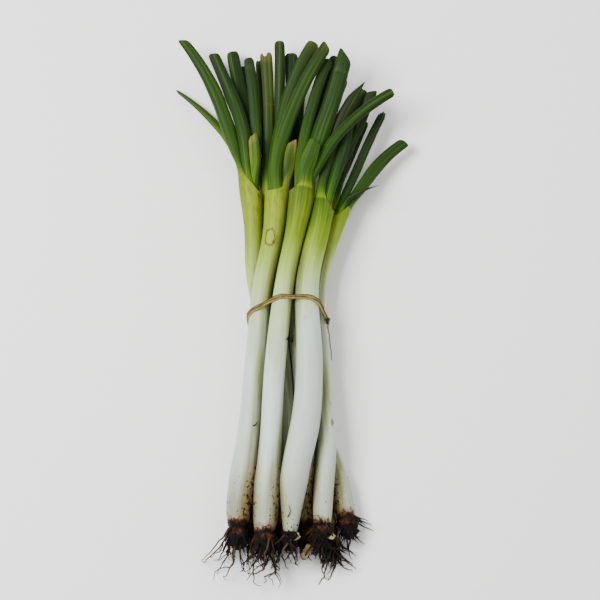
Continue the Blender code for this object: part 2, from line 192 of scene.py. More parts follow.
bpy.ops.mesh.primitive_plane_add(size=8.0, location=(0, 0, -TABLE_DROP))
table = bpy.context.object
table.name = "table_top"
table.data.materials.append(table_material)
table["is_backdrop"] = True
print("table top in mm:", -TABLE_DROP / MM)

# %% [markdown]
# ## Reading the centre lines
#
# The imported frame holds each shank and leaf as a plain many-sided tube. Its corners lie in rings,
# and the middle and the size of each ring give the line that the finished piece has to follow.
# Typing the lines in again would let the two drift apart.

# %% Read a tube's rings
SHANK_FACETS = 12
LEAF_FACETS = 8
STATION_STEP = 2.0 * MM
RING_PASSES = 6


def unit(vectors):
    """Vectors of length one."""
    vectors = np.asarray(vectors, dtype=float)
    return vectors / np.maximum(np.linalg.norm(vectors, axis=-1, keepdims=True), 1e-12)


def corners_of(node):
    """The places of a CAD node's corners, each once."""
    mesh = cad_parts[node].data
    points = np.empty(len(mesh.vertices) * 3)
    mesh.vertices.foreach_get("co", points)
    return np.unique(np.round(points.reshape(-1, 3), 7), axis=0)


def rings_of(node, facets):
    """The corners of a tube that runs along +Y, sorted into its rings from the roots up.

    A bent tube's rings aren't level, so each pass sorts them again along its own centre line.
    """
    corners = corners_of(node)
    count = len(corners) // facets
    assert count * facets == len(corners), f"{node} has {len(corners)} corners"
    order = np.argsort(corners[:, 1])
    for _ in range(RING_PASSES):
        centres = corners[order].reshape(count, facets, 3).mean(1)
        heading = unit(np.gradient(centres, axis=0))
        nearest = np.linalg.norm(corners[:, None] - centres[None], axis=2).argmin(1)
        past = ((corners - centres[nearest]) * heading[nearest]).sum(1)
        travelled = np.concatenate(
            ([0.0], np.cumsum(np.linalg.norm(np.diff(centres, axis=0), axis=1))))
        order = np.argsort(travelled[nearest] + past)
    return corners[order].reshape(count, facets, 3)


def through(points, step):
    """A soft curve through the points of a table, and its rows about one step apart."""
    points = np.vstack((2 * points[0] - points[1], points, 2 * points[-1] - points[-2]))
    rows = []
    for before, start, end, after in zip(points, points[1:], points[2:], points[3:]):
        pieces = max(1, round(np.linalg.norm((end - start)[:3]) / step))
        for t in np.arange(pieces) / pieces:
            rows.append(0.5 * (2 * start + (end - before) * t
                               + (2 * before - 5 * start + 4 * end - after) * t ** 2
                               + (3 * start - before - 3 * end + after) * t ** 3))
    return np.array(rows + [points[-2]])


def trace(node, facets):
    """Centre line and half width of a tube."""
    rings = rings_of(node, facets)
    centres = rings.mean(1)
    width = np.linalg.norm(rings - centres[:, None], axis=2).mean(1)
    rows = through(np.column_stack((centres, width)), STATION_STEP)
    return rows[:, :3], rows[:, 3]


# %% [markdown]
# A line alone doesn't say which way is up for the skin around it. Each strand carries a side
# direction that is handed on from station to station, so that veins and seams run straight
# along the plant and don't wind round it.

# %% Strands
class Strand:
    """A centre line with a half width, and side and up directions that don't twist."""

    def __init__(self, line, width, first_side):
        self.along = np.concatenate(
            ([0.0], np.cumsum(np.linalg.norm(np.diff(line, axis=0), axis=1))))
        self.length = self.along[-1]
        heading = unit(np.gradient(line, self.along, axis=0))
        sides, side = [], np.array(first_side, dtype=float)
        for to in heading:
            side = side - (side @ to) * to
            side /= np.linalg.norm(side)
            sides.append(side)
        self.table = np.column_stack((line, heading, sides, width))

    def at(self, along):
        """Centre, heading, side, up and half width at places along it, straight past its ends."""
        along = np.asarray(along, dtype=float)
        held = np.clip(along, 0.0, self.length)
        rows = np.stack([np.interp(held, self.along, c) for c in self.table.T], axis=-1)
        heading, side = unit(rows[..., 3:6]), unit(rows[..., 6:9])
        centre = rows[..., 0:3] + (along - held)[..., None] * heading
        return centre, heading, side, np.cross(side, heading), rows[..., 9:10]

    def skin(self, along, angle, grow=1.0, flat=1.0, broad=1.0):
        """Points on the tube at places along and angles round it, pressed flat from above."""
        centre, heading, side, up, width = self.at(along)
        out = np.cos(angle)[..., None] * side + np.sin(angle)[..., None] * up
        over = unit(np.array((0.0, 0.0, 1.0)) - heading * heading[..., 2:3])
        lift = (out * over).sum(-1, keepdims=True) * over
        out = np.asarray(broad)[..., None] * (out - lift) + np.asarray(flat)[..., None] * lift
        return centre + out * width * np.asarray(grow)[..., None]


PLANT_NAMES = [f"onion_{number}" for number in range(1, 10)]
shanks, leaves = {}, {}
for plant in PLANT_NAMES:
    shanks[plant] = Strand(*trace(f"{plant}_shank", SHANK_FACETS), (1.0, 0.0, 0.0))
    collar_side = shanks[plant].table[-1, 6:9]
    for node in sorted(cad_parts):
        if node.startswith(f"{plant}_leaf"):
            leaves[node] = Strand(*trace(node, LEAF_FACETS), collar_side)
print("strands:", len(shanks), "shanks,", len(leaves), "leaves")

# %% [markdown]
# ## Skins with memory
#
# A shank is rolled-up leaf: one thin sheath wraps the next, and each sheath runs on as a hollow
# leaf. Its skin is therefore built as rows of points round a strand, one closed mesh from the
# root plate to the leaf tip. Each point also remembers numbers that the paint will need: how
# green it is, how dry, how dirty, and where it lies round and along the plant.

# %% Rows of points into a closed mesh
def closed_skin(name, rows, memory):
    """One closed mesh from rows of points, and the numbers that each point remembers."""
    count, columns = rows.shape[:2]
    points = np.vstack((rows.reshape(-1, 3), rows[0].mean(0), rows[-1].mean(0)))
    start, end = count * columns, count * columns + 1
    here = np.arange(columns)
    beyond = np.roll(here, -1)
    faces = []
    for row in range(count - 1):
        low, high = row * columns, (row + 1) * columns
        faces += np.column_stack((low + here, high + here, high + beyond, low + beyond)).tolist()
    last = (count - 1) * columns
    faces += [(start, a, b) for a, b in zip(here.tolist(), beyond.tolist())]
    faces += [(end, last + b, last + a) for a, b in zip(here.tolist(), beyond.tolist())]
    mesh = bpy.data.meshes.new(name)
    mesh.from_pydata(points.tolist(), [], faces)
    mesh.polygons.foreach_set("use_smooth", [True] * len(mesh.polygons))
    for key, values in memory.items():
        flat = values.reshape(count * columns, -1)
        flat = np.vstack((flat, values[0].reshape(columns, -1).mean(0),
                          values[-1].reshape(columns, -1).mean(0)))
        wide = flat.shape[1] == 3
        attribute = mesh.attributes.new(key, "FLOAT_VECTOR" if wide else "FLOAT", "POINT")
        attribute.data.foreach_set("vector" if wide else "value", flat.astype(np.float32).ravel())
    mesh.update()
    made = bpy.data.objects.new(name, mesh)
    bpy.context.scene.collection.objects.link(made)
    return made


def wander(values, size, seed):
    """Smooth noise between -1 and 1 at places along a line, one bump per size."""
    flat = np.asarray(values, dtype=float)
    found = [noise.noise(Vector((value / size, seed * 7.31, seed * 3.17))) for value in flat.ravel()]
    return np.array(found).reshape(flat.shape)


# %% [markdown]
# ## What each plant and leaf looks like
#
# No two plants in a bunch are alike. A short table says which leaf each sheath runs on into, how
# far its open side is torn down, how yellow it is at the collar, and how dirty its foot is and how
# much painted shade darkens its lower part. A second table gives every leaf its tone, its browning,
# and the way its end was cut or pinched.
# The usual values stand in the functions below, so an entry names only what is different.

# %% Looks
class Look:
    """Named values for one plant, one leaf or one tuft of roots."""

    def __init__(self, **values):
        self.__dict__.update(values)


def plant_look(blade=1, bearing=None, drop=4.0, nib=False, tongue=0.0, tongue_to=0, green=0.0,
               quick=1.0, base=0.0, yellow=0.0, dirt=1.0, flare=0.0, oval=0.03, oval_to=0):
    """How one plant's sheath opens and how it is coloured."""
    return Look(**locals())


def leaf_look(tone=0.0, olive=0.0, wilt=0.0, tan=0.0, flat=0.62, broad=1.12, fan=0.0, slant=2.0,
              slant_to=90, crease=0.0, point=0.0, ragged=0.0, notch=0.0, notch_to=90, pale=0.0,
              early=1.0, scuff=0.0, scuff_to=0):
    """How one leaf is coloured, pressed and cut. A crease is placed in mm from the cut end."""
    return Look(**locals())


PLANT_LOOKS = {
    "onion_1": plant_look(blade=2, bearing=5, drop=2.5, green=0.01, yellow=0.7, dirt=1.4,
                          flare=0.06, oval_to=20),
    "onion_2": plant_look(blade=1, bearing=62, drop=4.0, green=0.08, quick=1.15, base=0.05,
                          yellow=0.4, dirt=1.1, flare=0.22),
    "onion_3": plant_look(blade=1, bearing=130, drop=7.0, green=0.14, quick=1.25, base=-0.02,
                          yellow=0.1, dirt=0.6, flare=0.15, oval_to=-20),
    "onion_4": plant_look(blade=3, bearing=-35, drop=6.0, tongue=10.0, tongue_to=48, green=0.04,
                          quick=1.7, yellow=0.3, dirt=0.9, oval_to=30),
    "onion_5": plant_look(blade=1, bearing=165, drop=17.0, nib=True, green=0.03, quick=0.9,
                          yellow=0.9, dirt=1.3, flare=0.15),
    "onion_6": plant_look(blade=1, yellow=0.4, dirt=1.3),
    "onion_7": plant_look(blade=1, yellow=0.4, dirt=1.3),
    "onion_8": plant_look(blade=1, yellow=0.2, dirt=1.0),
    "onion_9": plant_look(blade=1, yellow=0.2, dirt=1.2),
}
LEAF_LOOKS = {
    "onion_1_leaf_1": leaf_look(tone=-0.08, wilt=0.55, flat=0.55, broad=1.02, slant=4,
                                slant_to=180, tan=0.2),
    "onion_1_leaf_2": leaf_look(tone=-0.04, olive=0.6, tan=0.6, flat=0.6, broad=1.0, fan=0.8,
                                slant=4, slant_to=0, ragged=1.0, pale=0.5, scuff=0.5),
    "onion_1_leaf_3": leaf_look(tone=-0.03, wilt=0.3, flat=0.62, broad=1.05, slant=2, crease=9,
                                tan=0.1),
    "onion_2_leaf_1": leaf_look(tone=-0.02, flat=0.5, broad=1.05, fan=0.35, slant=3, slant_to=180,
                                early=4.0, pale=0.5),
    "onion_2_leaf_2": leaf_look(tone=0.03, flat=0.75, broad=1.1, slant=1),
    "onion_2_leaf_3": leaf_look(tone=0.03, flat=0.55, broad=1.15, slant=9, slant_to=180,
                                crease=18),
    "onion_2_leaf_4": leaf_look(tone=-0.05, wilt=0.2, flat=0.6, slant=3),
    "onion_3_leaf_1": leaf_look(tone=0.12, wilt=0.95, flat=0.55, point=1.0),
    "onion_3_leaf_2": leaf_look(tone=0.16, ragged=1.2),
    "onion_3_leaf_3": leaf_look(tone=0.1, wilt=0.25, slant=4, slant_to=0),
    "onion_4_leaf_1": leaf_look(tone=0.12, ragged=3.0, flat=0.5, slant=3),
    "onion_4_leaf_2": leaf_look(tone=0.2, wilt=0.8, flat=0.6, point=1.0, broad=1.0, early=3.0),
    "onion_4_leaf_3": leaf_look(tone=0.0, flat=0.8, broad=1.15, slant=3, slant_to=-60),
    "onion_5_leaf_1": leaf_look(tone=-0.1, flat=0.65, broad=0.95, fan=0.15, slant=5,
                                slant_to=180, early=1.3),
    "onion_5_leaf_2": leaf_look(tone=0.08, flat=0.65, slant=2, slant_to=180),
    "onion_5_leaf_3": leaf_look(tone=-0.02, olive=0.7, tan=0.8, flat=0.6, broad=1.0, fan=0.5,
                                slant=4, slant_to=0, ragged=1.2, pale=0.5, scuff=0.6,
                                scuff_to=180),
    "onion_5_leaf_4": leaf_look(tone=0.03, flat=0.6, crease=7, ragged=1.4),
    "onion_5_leaf_5": leaf_look(tone=0.08, flat=0.6, broad=1.15),
    "onion_5_leaf_6": leaf_look(tone=-0.2, olive=0.3, flat=0.65, broad=1.0, fan=0.6),
    "onion_6_leaf_1": leaf_look(tone=-0.04, olive=0.85, flat=0.5, broad=1.12, crease=38,
                                notch=4.0, notch_to=100, tan=0.4),
    "onion_6_leaf_2": leaf_look(tone=0.05, wilt=0.35, flat=0.6, broad=1.15),
    "onion_6_leaf_3": leaf_look(tone=0.14, ragged=1.5),
    "onion_6_leaf_4": leaf_look(tone=0.16, ragged=1.5),
    "onion_7_leaf_1": leaf_look(tone=0.02, wilt=0.5, flat=0.55, slant=3),
    "onion_7_leaf_2": leaf_look(tone=-0.2, flat=0.55, broad=1.25, point=1.0),
    "onion_7_leaf_3": leaf_look(tone=0.12),
    "onion_8_leaf_1": leaf_look(tone=0.14),
    "onion_8_leaf_2": leaf_look(tone=0.16, ragged=1.5),
    "onion_9_leaf_1": leaf_look(tone=0.1, flat=0.55, broad=1.2, crease=6),
    "onion_9_leaf_2": leaf_look(tone=0.16),
}
print("looks:", len(PLANT_LOOKS), "plants,", len(LEAF_LOOKS), "leaves")

# %% [markdown]
# ## Sheaths that open into leaves
#
# At the collar the outer sheath opens on one side and runs on as a leaf on the other. Two tubes
# pushed together would show a hard ring there. Instead each row of the collar is given twice,
# once for the open side, where the wall turns over a thin rim and back down inside, and once
# for the closed side, where it runs straight on into the leaf, and the rows are shared between
# the two round the plant.

# %% Row tables
COLUMNS = 48
SHANK_ROW_STEP = 2.0 * MM
COLLAR_START = -26.0
COLLAR_END = 22.0
TIP_ROOM = 14.0
FOOT_END = 4.0
EMERGED_RISE = 16.0
LOWEST_SKIN = 0.05 * MM

# For each row: on the open side the distance from the rim in mm, the share of the leaf in the
# shape, the wall's size and how far the row follows the rim up and down, and on the closed side
# the distance and the share.
COLLAR_ROWS = (
    (-7.0, 0.00, 1.00, 0.55, -19.0, 0.00),
    (-4.0, 0.00, 1.00, 0.85, -13.0, 0.03),
    (-1.6, 0.00, 1.00, 1.00, -8.0, 0.10),
    (-0.5, 0.00, 1.02, 1.00, -5.5, 0.17),
    (0.0, 0.00, 1.03, 1.00, -3.0, 0.26),
    (0.15, 0.00, 0.99, 1.00, -1.0, 0.34),
    (-0.2, 0.02, 0.95, 1.00, 1.0, 0.42),
    (-2.0, 0.06, 0.93, 1.00, 3.0, 0.50),
    (-4.0, 0.12, 0.91, 1.00, 5.0, 0.58),
    (-5.2, 0.25, 0.90, 1.00, 7.0, 0.66),
    (-4.6, 0.40, 0.92, 0.95, 9.0, 0.73),
    (-2.5, 0.54, 0.95, 0.85, 11.0, 0.80),
    (0.5, 0.68, 1.00, 0.65, 13.0, 0.86),
    (4.0, 0.82, 1.00, 0.45, 15.5, 0.92),
    (9.0, 0.93, 1.00, 0.20, 18.5, 0.97),
    (15.0, 0.99, 1.00, 0.00, 21.0, 1.00),
)
# How green a plant is by its distance from the collar in mm.
RIPE_AT = (-260, -170, -126, -91, -68, -54, -42, -27, -6, 2, 10, 22, 50, 110)
RIPE = (0.0, 0.02, 0.06, 0.12, 0.23, 0.30, 0.38, 0.42, 0.46, 0.50, 0.60, 0.75, 0.86, 0.95)
FOOT_ROWS = ((0.0, 0.55), (0.0, 0.80), (0.7, 0.93), (2.0, 0.99))

angles = np.linspace(0.0, 2 * math.pi, COLUMNS, endpoint=False)


def round_angles(count):
    """The columns' angles, once for each row."""
    return np.tile(angles, (count, 1))


# %% [markdown]
# Leaves are flattened tubes. Pressing a tube flat keeps the length of its wall, so it grows
# wider as it gets thinner. The end is cut with scissors, which pinches the two walls together
# and leaves slightly rounded corners.

# %% Leaf section
def leaf_width(blade, look, along):
    """How far a leaf swells, how flat it lies and how broad it is, at places along it."""
    share = np.clip(along / blade.length, 0.0, 1.0)
    from_end = (blade.length - along) / MM
    pressed = 0.75 * soft_step(0.05, 0.6, share) + 0.35 * soft_step(14.0, 2.0, from_end)
    flat = np.maximum(1.0 - (1.0 - look.flat) * pressed, 0.25)
    broad = 1.0 + (look.broad - 1.0) * soft_step(0.0, 14.0, along / MM)
    broad = broad + look.fan * np.exp(-(along / (26.0 * MM)) ** 2)
    swell = 1.0 + 0.03 * wander(along, 17 * MM, blade.length * 1000)
    if look.crease:
        fold = np.exp(-((from_end - look.crease) / 1.1) ** 2)
        swell = swell - 0.035 * fold
        flat = flat * (1.0 - 0.3 * fold)
    if look.point:
        swell = swell * (0.18 + 0.82 * soft_step(-1.0, 18.0, from_end))
    return swell, flat, broad


def tip_rows(blade, look):
    """Places, sizes and inside marks of the rows that end a leaf: a cut, thin, open wall."""
    turn = angles - math.radians(look.slant_to)
    lean = blade.length - look.slant * MM * (1.0 - np.cos(turn)) / 2
    tear = look.ragged * MM * (0.5 + wander(angles * 5, 1.0, blade.length * 900))
    gash = np.exp(-(np.sin((angles - math.radians(look.notch_to)) / 2) / 0.16) ** 2)
    corners = 1.3 * MM * np.abs(np.cos(angles)) ** 6
    end = lean - tear - look.notch * MM * gash - corners
    start = blade.length - TIP_ROOM * MM
    rows = []
    for share, size in ((0.0, 1.0), (0.25, 1.0), (0.5, 1.0), (0.7, 1.0), (0.85, 0.99),
                        (0.94, 0.97), (1.0, 0.93)):
        rows.append((start + share * (end - start), size, 0.0))
    for depth, size in ((0.05, 0.86), (0.8, 0.84), (3.0, 0.80), (7.0, 0.70), (11.0, 0.45)):
        rows.append((end - depth * MM, size, 1.0))
    return rows


def leaf_memory(blade, look, along, inside):
    """Greenness, olive browning, wilting and dryness along a leaf."""
    from_collar = along / MM
    share = along / blade.length
    from_end = (blade.length - along) / MM
    ripe = np.interp(from_collar * look.early, RIPE_AT, RIPE)
    ripe = ripe + look.tone * soft_step(0.0, 30.0, from_collar * look.early)
    ripe = ripe - look.pale * np.maximum(ripe - 0.44, 0.0)
    olive = look.olive * soft_step(0.15, 0.7, share)
    wilt = look.wilt * soft_step(0.25, 0.9, share)
    dry = look.tan * soft_step(10.0, 0.0, from_end)
    dry = dry + look.scuff * soft_step(0.2, 0.9, np.cos(angles - math.radians(look.scuff_to)))
    if look.crease:
        dry = dry + 0.12 * np.exp(-((from_end - look.crease) / 0.7) ** 2)
    if look.point:
        wilt = np.maximum(wilt, look.wilt * 1.1 * soft_step(18.0, 8.0, from_end))
    dry = dry + 0.2 * np.exp(-(from_end / 0.8) ** 2) * (1.0 - inside)
    return ripe, olive, wilt, dry


def blade_rows(blade, look, start):
    """Points and memories of a leaf from a place above the collar to its open tip."""
    body = np.arange(start, blade.length - TIP_ROOM * MM, SHANK_ROW_STEP)
    ending = tip_rows(blade, look)
    along = np.vstack([np.full(COLUMNS, place) for place in body] + [row[0] for row in ending])
    size = np.concatenate([np.ones(len(body)), [row[1] for row in ending]])[:, None]
    inside = np.concatenate([np.zeros(len(body)), [row[2] for row in ending]])[:, None]
    swell, flat, broad = leaf_width(blade, look, along)
    points = blade.skin(along, round_angles(len(along)), swell * size, flat, broad)
    return points, along, inside * np.ones_like(along)


GRAIN_SIZE = 7.0 * MM
GRAIN_SHIFT = 0.13


def grain_of(angle, along):
    """Where a point lies round and along the plant, in metres, with no seam."""
    return np.stack((GRAIN_SIZE * np.cos(angle), GRAIN_SIZE * np.sin(angle), along), axis=-1)


# %% [markdown]
# Where shanks press together the skin is rubbed and stained, dirty water dries in the gap, and the
# gap lies in shade, which the paint also darkens as painted shade. Each point of a skin therefore
# also remembers how near the next shank is.

# %% Nearness to the neighbours
# How far the nearness to the next shank reaches; it drives the stains and the painted shade in the
# gaps.
STAIN_REACH = 7.5 * MM


def crowding(points, plant):
    """1 where a point touches another shank, falling to 0 over a few millimetres."""
    nearest = np.full(points.shape[:-1], 1.0)
    for other, shank in shanks.items():
        if other != plant:
            centres, widths = shank.table[::2, 0:3], shank.table[::2, 9]
            away = np.linalg.norm(points[..., None, :] - centres, axis=-1) - widths
            nearest = np.minimum(nearest, away.min(-1))
    return np.exp(-(np.maximum(nearest, 0.0) / STAIN_REACH) ** 2)


# %% Sheaths
def flare_of(look, place):
    """How much wider a plant is near its collar, where the leaves begin to part."""
    return 1.0 + look.flare * np.exp(-(np.minimum(place + 4.0 * MM, 0.0) / (22.0 * MM)) ** 2)


def shank_rows(plant, look):
    """Points of a shank from its root plate to where the collar starts."""
    shank = shanks[plant]
    foot = [np.full(COLUMNS, place * MM) for place, _ in FOOT_ROWS]
    body = np.arange(FOOT_END * MM, shank.length + COLLAR_START * MM, SHANK_ROW_STEP)
    along = np.vstack(foot + [np.full(COLUMNS, place) for place in body])
    size = np.concatenate([[size for _, size in FOOT_ROWS], np.ones(len(body))])[:, None]
    spread = round_angles(len(along))
    oval = 1.0 + look.oval * np.cos(2 * (spread - math.radians(look.oval_to)))
    drift = 1.0 + 0.012 * wander(along, 23 * MM, int(plant[-1]))
    flare = flare_of(look, along - shank.length)
    return shank.skin(along, spread, size * oval * drift * flare), along - shank.length


def rim_of(look, high, seed):
    """How far the sheath's rim lies above the collar round the plant, in mm."""
    turn = angles - math.radians(look.bearing)
    fall = look.drop * (1.0 - high)
    if look.nib:
        fall = look.drop * (1.0 - np.cos(turn)) / 2
    spike = look.tongue * np.exp(-(np.sin((angles - math.radians(look.tongue_to)) / 2) / 0.3) ** 2)
    nibbled = 0.35 * wander(angles * 9, 3.0, seed + 20) * (1.0 - high)
    return spike - fall + nibbled


def collar_rows(plant, blade, blade_look, look, high, rim):
    """Points of the collar, where the open side turns in and the closed side runs on.

    Rows that have come up again out of the open mouth are marked as emerged.
    """
    shank = shanks[plant]
    oval = 1.0 + look.oval * np.cos(2 * (angles - math.radians(look.oval_to)))
    points, places, inside, emerged = [], [], [], []
    for low_place, low_share, low_size, follow, high_place, high_share in COLLAR_ROWS:
        place = (low_place + follow * rim) * (1.0 - high) + high_place * high
        place = place * MM
        share = (low_share * (1.0 - high) + high_share * high)[:, None]
        wall = low_size * (1.0 - high) + high
        outer = shank.skin(shank.length + place, angles, wall * oval * flare_of(look, place))
        swell, flat, broad = leaf_width(blade, blade_look, np.maximum(place, 0.0))
        inner = blade.skin(place, angles, wall * swell, flat, broad)
        points.append(outer * (1.0 - share) + inner * share)
        places.append(place)
        inside.append((1.0 - high) * (low_size < 0.97) * (low_share < 0.5))
        emerged.append((1.0 - high) * (low_share > 0.05))
    return np.array(points), np.array(places), np.array(inside), np.array(emerged)


def sheath(plant):
    """One plant's shank and the leaf that its outer sheath runs on into."""
    look, shank = PLANT_LOOKS[plant], shanks[plant]
    node = f"{plant}_leaf_{look.blade}"
    blade, blade_look = leaves[node], LEAF_LOOKS[node]
    if look.bearing is None:
        offset = blade.table[0, :3] - shank.table[-1, :3]
        _, _, side, up, _ = shank.at(shank.length)
        look.bearing = math.degrees(math.atan2(offset @ up, offset @ side))
    turn = angles - math.radians(look.bearing)
    high = soft_step(0.35, 0.95, (1 + np.cos(turn)) / 2)
    rim = rim_of(look, high, int(plant[-1]))
    body = shank_rows(plant, look)
    collar = collar_rows(plant, blade, blade_look, look, high, rim)
    upper = blade_rows(blade, blade_look, (COLLAR_END + 2) * MM)
    points = np.vstack((body[0], collar[0], upper[0]))
    places = np.vstack((body[1], collar[1], upper[1]))
    inside = np.vstack((np.zeros_like(body[1]), collar[2], upper[2]))

    emerged = np.vstack((np.zeros_like(body[1]), collar[3], np.zeros_like(upper[2])))
    above = np.maximum(places, 0.0) + EMERGED_RISE * MM * emerged
    on_leaf = above > 0
    ripe, olive, wilt, dry = leaf_memory(blade, blade_look, above, inside)
    below = places / MM
    ripe = np.where(on_leaf, ripe, np.interp(below * look.quick, RIPE_AT, RIPE)
                    + look.green * np.exp(-(below / 38.0) ** 2) + look.base)
    from_foot = (places + shank.length) / MM
    edge = np.exp(-((places / MM - rim) / 1.0) ** 2) * (1.0 - high)
    points[..., 2] = np.maximum(points[..., 2], LOWEST_SKIN)
    near = crowding(points, plant) * soft_step(10.0, -15.0, places / MM)
    return closed_skin(f"{plant}_sheath", points, {
        "ripe": ripe,
        "olive": np.where(on_leaf, olive, 0.0),
        "wilt": np.where(on_leaf, wilt, 0.0),
        "dry": np.where(on_leaf, dry, 0.0) + 0.35 * edge,
        "yellow": look.yellow * np.exp(-((places / MM + 14.0) / 30.0) ** 2)
        * soft_step(9.0, -4.0, places / MM) * (1.0 - emerged),
        "soil": look.dirt * (1.0 - soft_step(-4.0, 16.0, from_foot)),
        # Partly foot dirt, partly painted shade: the lower shank grows darker towards the foot over 75
        # mm.
        "splash": look.dirt * (1.0 - soft_step(0.0, 75.0, from_foot)),
        "crowding": near,
        "inside": inside,
        "grain": grain_of(round_angles(len(points)), places),
    })


# %% [markdown]
# The leaves inside a sheath start nested in it, one round tube in another, and part as they
# rise. Each begins as nearly the whole round of the shank, a little way down in the mouth, and
# narrows to its own tube over the next centimetre and a half, so that no hole shows.

# %% Inner leaves
NEST_DEPTH = 7.0
NEST_AT = (-6.0, -2.0, 2.0, 8.0, 16.0)
NEST_SHARE = (0.30, 0.60, 0.80, 0.95, 1.0)
NEST_END = 18.0
NEST_SIZE = 0.90
NEST_SIZE_STEP = 0.05


def inner_leaf(plant, node, order):
    """A leaf that starts nested inside the sheath's mouth and ends in an open cut."""
    shank, blade, look = shanks[plant], leaves[node], LEAF_LOOKS[node]
    depth = NEST_DEPTH + PLANT_LOOKS[plant].drop
    nest = np.arange(-depth * MM, NEST_END * MM, SHANK_ROW_STEP)
    along = np.vstack([np.full(COLUMNS, place) for place in nest])
    share = np.interp(along / MM, NEST_AT, NEST_SHARE)[..., None]
    size = NEST_SIZE - NEST_SIZE_STEP * order
    spread = round_angles(len(along))
    swell, flat, broad = leaf_width(blade, look, along)
    outer = shank.skin(shank.length + along, spread, size * np.ones_like(along))
    inner = blade.skin(along, spread, swell, flat, broad)
    upper, upper_places, upper_inside = blade_rows(blade, look, NEST_END * MM)
    points = np.vstack((outer * (1.0 - share) + inner * share, upper))
    places = np.vstack((along, upper_places))
    inside = np.vstack((np.zeros_like(along), upper_inside))
    ripe, olive, wilt, dry = leaf_memory(blade, look, places, inside)
    points[..., 2] = np.maximum(points[..., 2], LOWEST_SKIN)
    nothing = np.zeros_like(places)
    return closed_skin(node, points, {
        "ripe": ripe + 0.10 * (1.0 - soft_step(0.0, 25.0, places / MM)),
        "olive": olive,
        "wilt": wilt,
        "dry": dry,
        "yellow": nothing,
        "soil": nothing,
        "splash": nothing,
        "crowding": nothing,
        "inside": inside,
        "grain": grain_of(round_angles(len(points)), places + order * GRAIN_SHIFT),
    })


sheaths, inner_leaves = {}, {}
for plant in PLANT_NAMES:
    sheaths[plant] = sheath(plant)
    own = [node for node in leaves if node.startswith(plant)]
    for order, node in enumerate(own):
        if node != f"{plant}_leaf_{PLANT_LOOKS[plant].blade}":
            inner_leaves[node] = inner_leaf(plant, node, order)
print("sheaths:", len(sheaths), "inner leaves:", len(inner_leaves))

# %% [markdown]
# ## Fresh onion skin
#
# The skin is wet, waxy leaf tissue. Where no light reached it, under the soil, it has no green
# at all and looks like porcelain. Above that it turns yellow-green and then deep green. Fine
# parallel veins run along it. The paint reads what each point remembers, and breaks every edge
# with noise that is stretched along the veins, because nothing in a plant changes at a line.

# %% Noise along the veins
RIPE_COLOURS = ((0.0, "#B7C1B5"), (0.06, "#C5D4CE"), (0.12, "#B4C9A2"), (0.22, "#A8C267"),
                (0.33, "#8BA83A"), (0.42, "#789021"), (0.49, "#64800C"), (0.56, "#4A6C14"),
                (0.66, "#33520F"), (0.80, "#27430F"), (0.92, "#203612"), (1.0, "#1C2C14"))
VEIN_SPACING = 0.9 * MM
BLOTCH_SIZE = 14.0 * MM
STREAK_SIZE = 2.2 * MM
LEAF_BAND_SIZE = 3.2 * MM
SPECK_SIZE = 2.2 * MM
DIRT_SIZE = 1.7 * MM


def remembered(tree, key):
    """A number that the skin's points remember."""
    return add(tree, "ShaderNodeAttribute", attribute_name=key).outputs["Fac"]


def noise_along(tree, grain, size, stretch, detail=2.0, rough=0.5):
    """Noise with bumps of one size across the plant, drawn out along it."""
    place = add(tree, "ShaderNodeVectorMath", {0: grain, 1: (1.0, 1.0, 1.0 / stretch)},
                operation="MULTIPLY")
    return add(tree, "ShaderNodeTexNoise", {"Vector": place, "Scale": 1.0 / size,
                                            "Detail": detail, "Roughness": rough}).outputs[0]


def part_of(tree, value, low, high):
    """0 below low and 1 above high."""
    return add(tree, "ShaderNodeMapRange", {"Value": value, "From Min": low, "From Max": high},
               interpolation_type="SMOOTHSTEP").outputs[0]


def product(tree, *factors):
    """Several shares multiplied."""
    result = factors[0]
    for factor in factors[1:]:
        result = maths(tree, "MULTIPLY", result, factor)
    return result


skin_material, tree = new_material("fresh_onion_skin")
grain = add(tree, "ShaderNodeAttribute", attribute_name="grain").outputs["Vector"]
veins = noise_along(tree, grain, VEIN_SPACING, 33)
streaks = noise_along(tree, grain, STREAK_SIZE, 22, 3.0, 0.6)
blotches = noise_along(tree, grain, BLOTCH_SIZE, 4, 3.0, 0.55)
bands = noise_along(tree, grain, LEAF_BAND_SIZE, 45, 2.0, 0.6)
specks = noise_along(tree, grain, SPECK_SIZE, 4, 2.0, 0.6)
dirt_grain = noise_along(tree, grain, DIRT_SIZE, 1.8, 4.0, 0.7)

# %% [markdown]
# The green comes first: how ripe the point is, shifted by the veins and by broad soft blotches.
# Yellowing, olive browning and wilting lie over it, each only where the plant remembers it. On
# the green leaf, dark lines of painted shade and pale lines of painted highlight run along it.

# %% Living colours
vein_shift = maths(tree, "MULTIPLY", maths(tree, "SUBTRACT", veins, 0.5), 0.12)
streak_shift = maths(tree, "MULTIPLY", maths(tree, "SUBTRACT", streaks, 0.5), 0.16)
blotch_shift = maths(tree, "MULTIPLY", maths(tree, "SUBTRACT", blotches, 0.5), 0.14)
ripeness = maths(tree, "ADD", remembered(tree, "ripe"), maths(
    tree, "ADD", vein_shift, maths(tree, "ADD", streak_shift, blotch_shift)))
flesh = add(tree, "ShaderNodeValToRGB", {"Fac": ripeness}, stops=RIPE_COLOURS).outputs[0]
yellow_share = product(tree, remembered(tree, "yellow"), streaks, 1.5)
flesh = blend(tree, yellow_share, flesh, colour("#848E10"))
freckle_share = product(tree, remembered(tree, "yellow"), part_of(tree, specks, 0.5, 0.68), 0.75)
flesh = blend(tree, freckle_share, flesh, colour("#5C5620"))
olive_share = product(tree, remembered(tree, "olive"), blotches, 1.7)
flesh = blend(tree, olive_share, flesh, colour("#40461D"))
wilt_share = product(tree, remembered(tree, "wilt"), part_of(tree, blotches, 0.2, 0.75), 1.2)
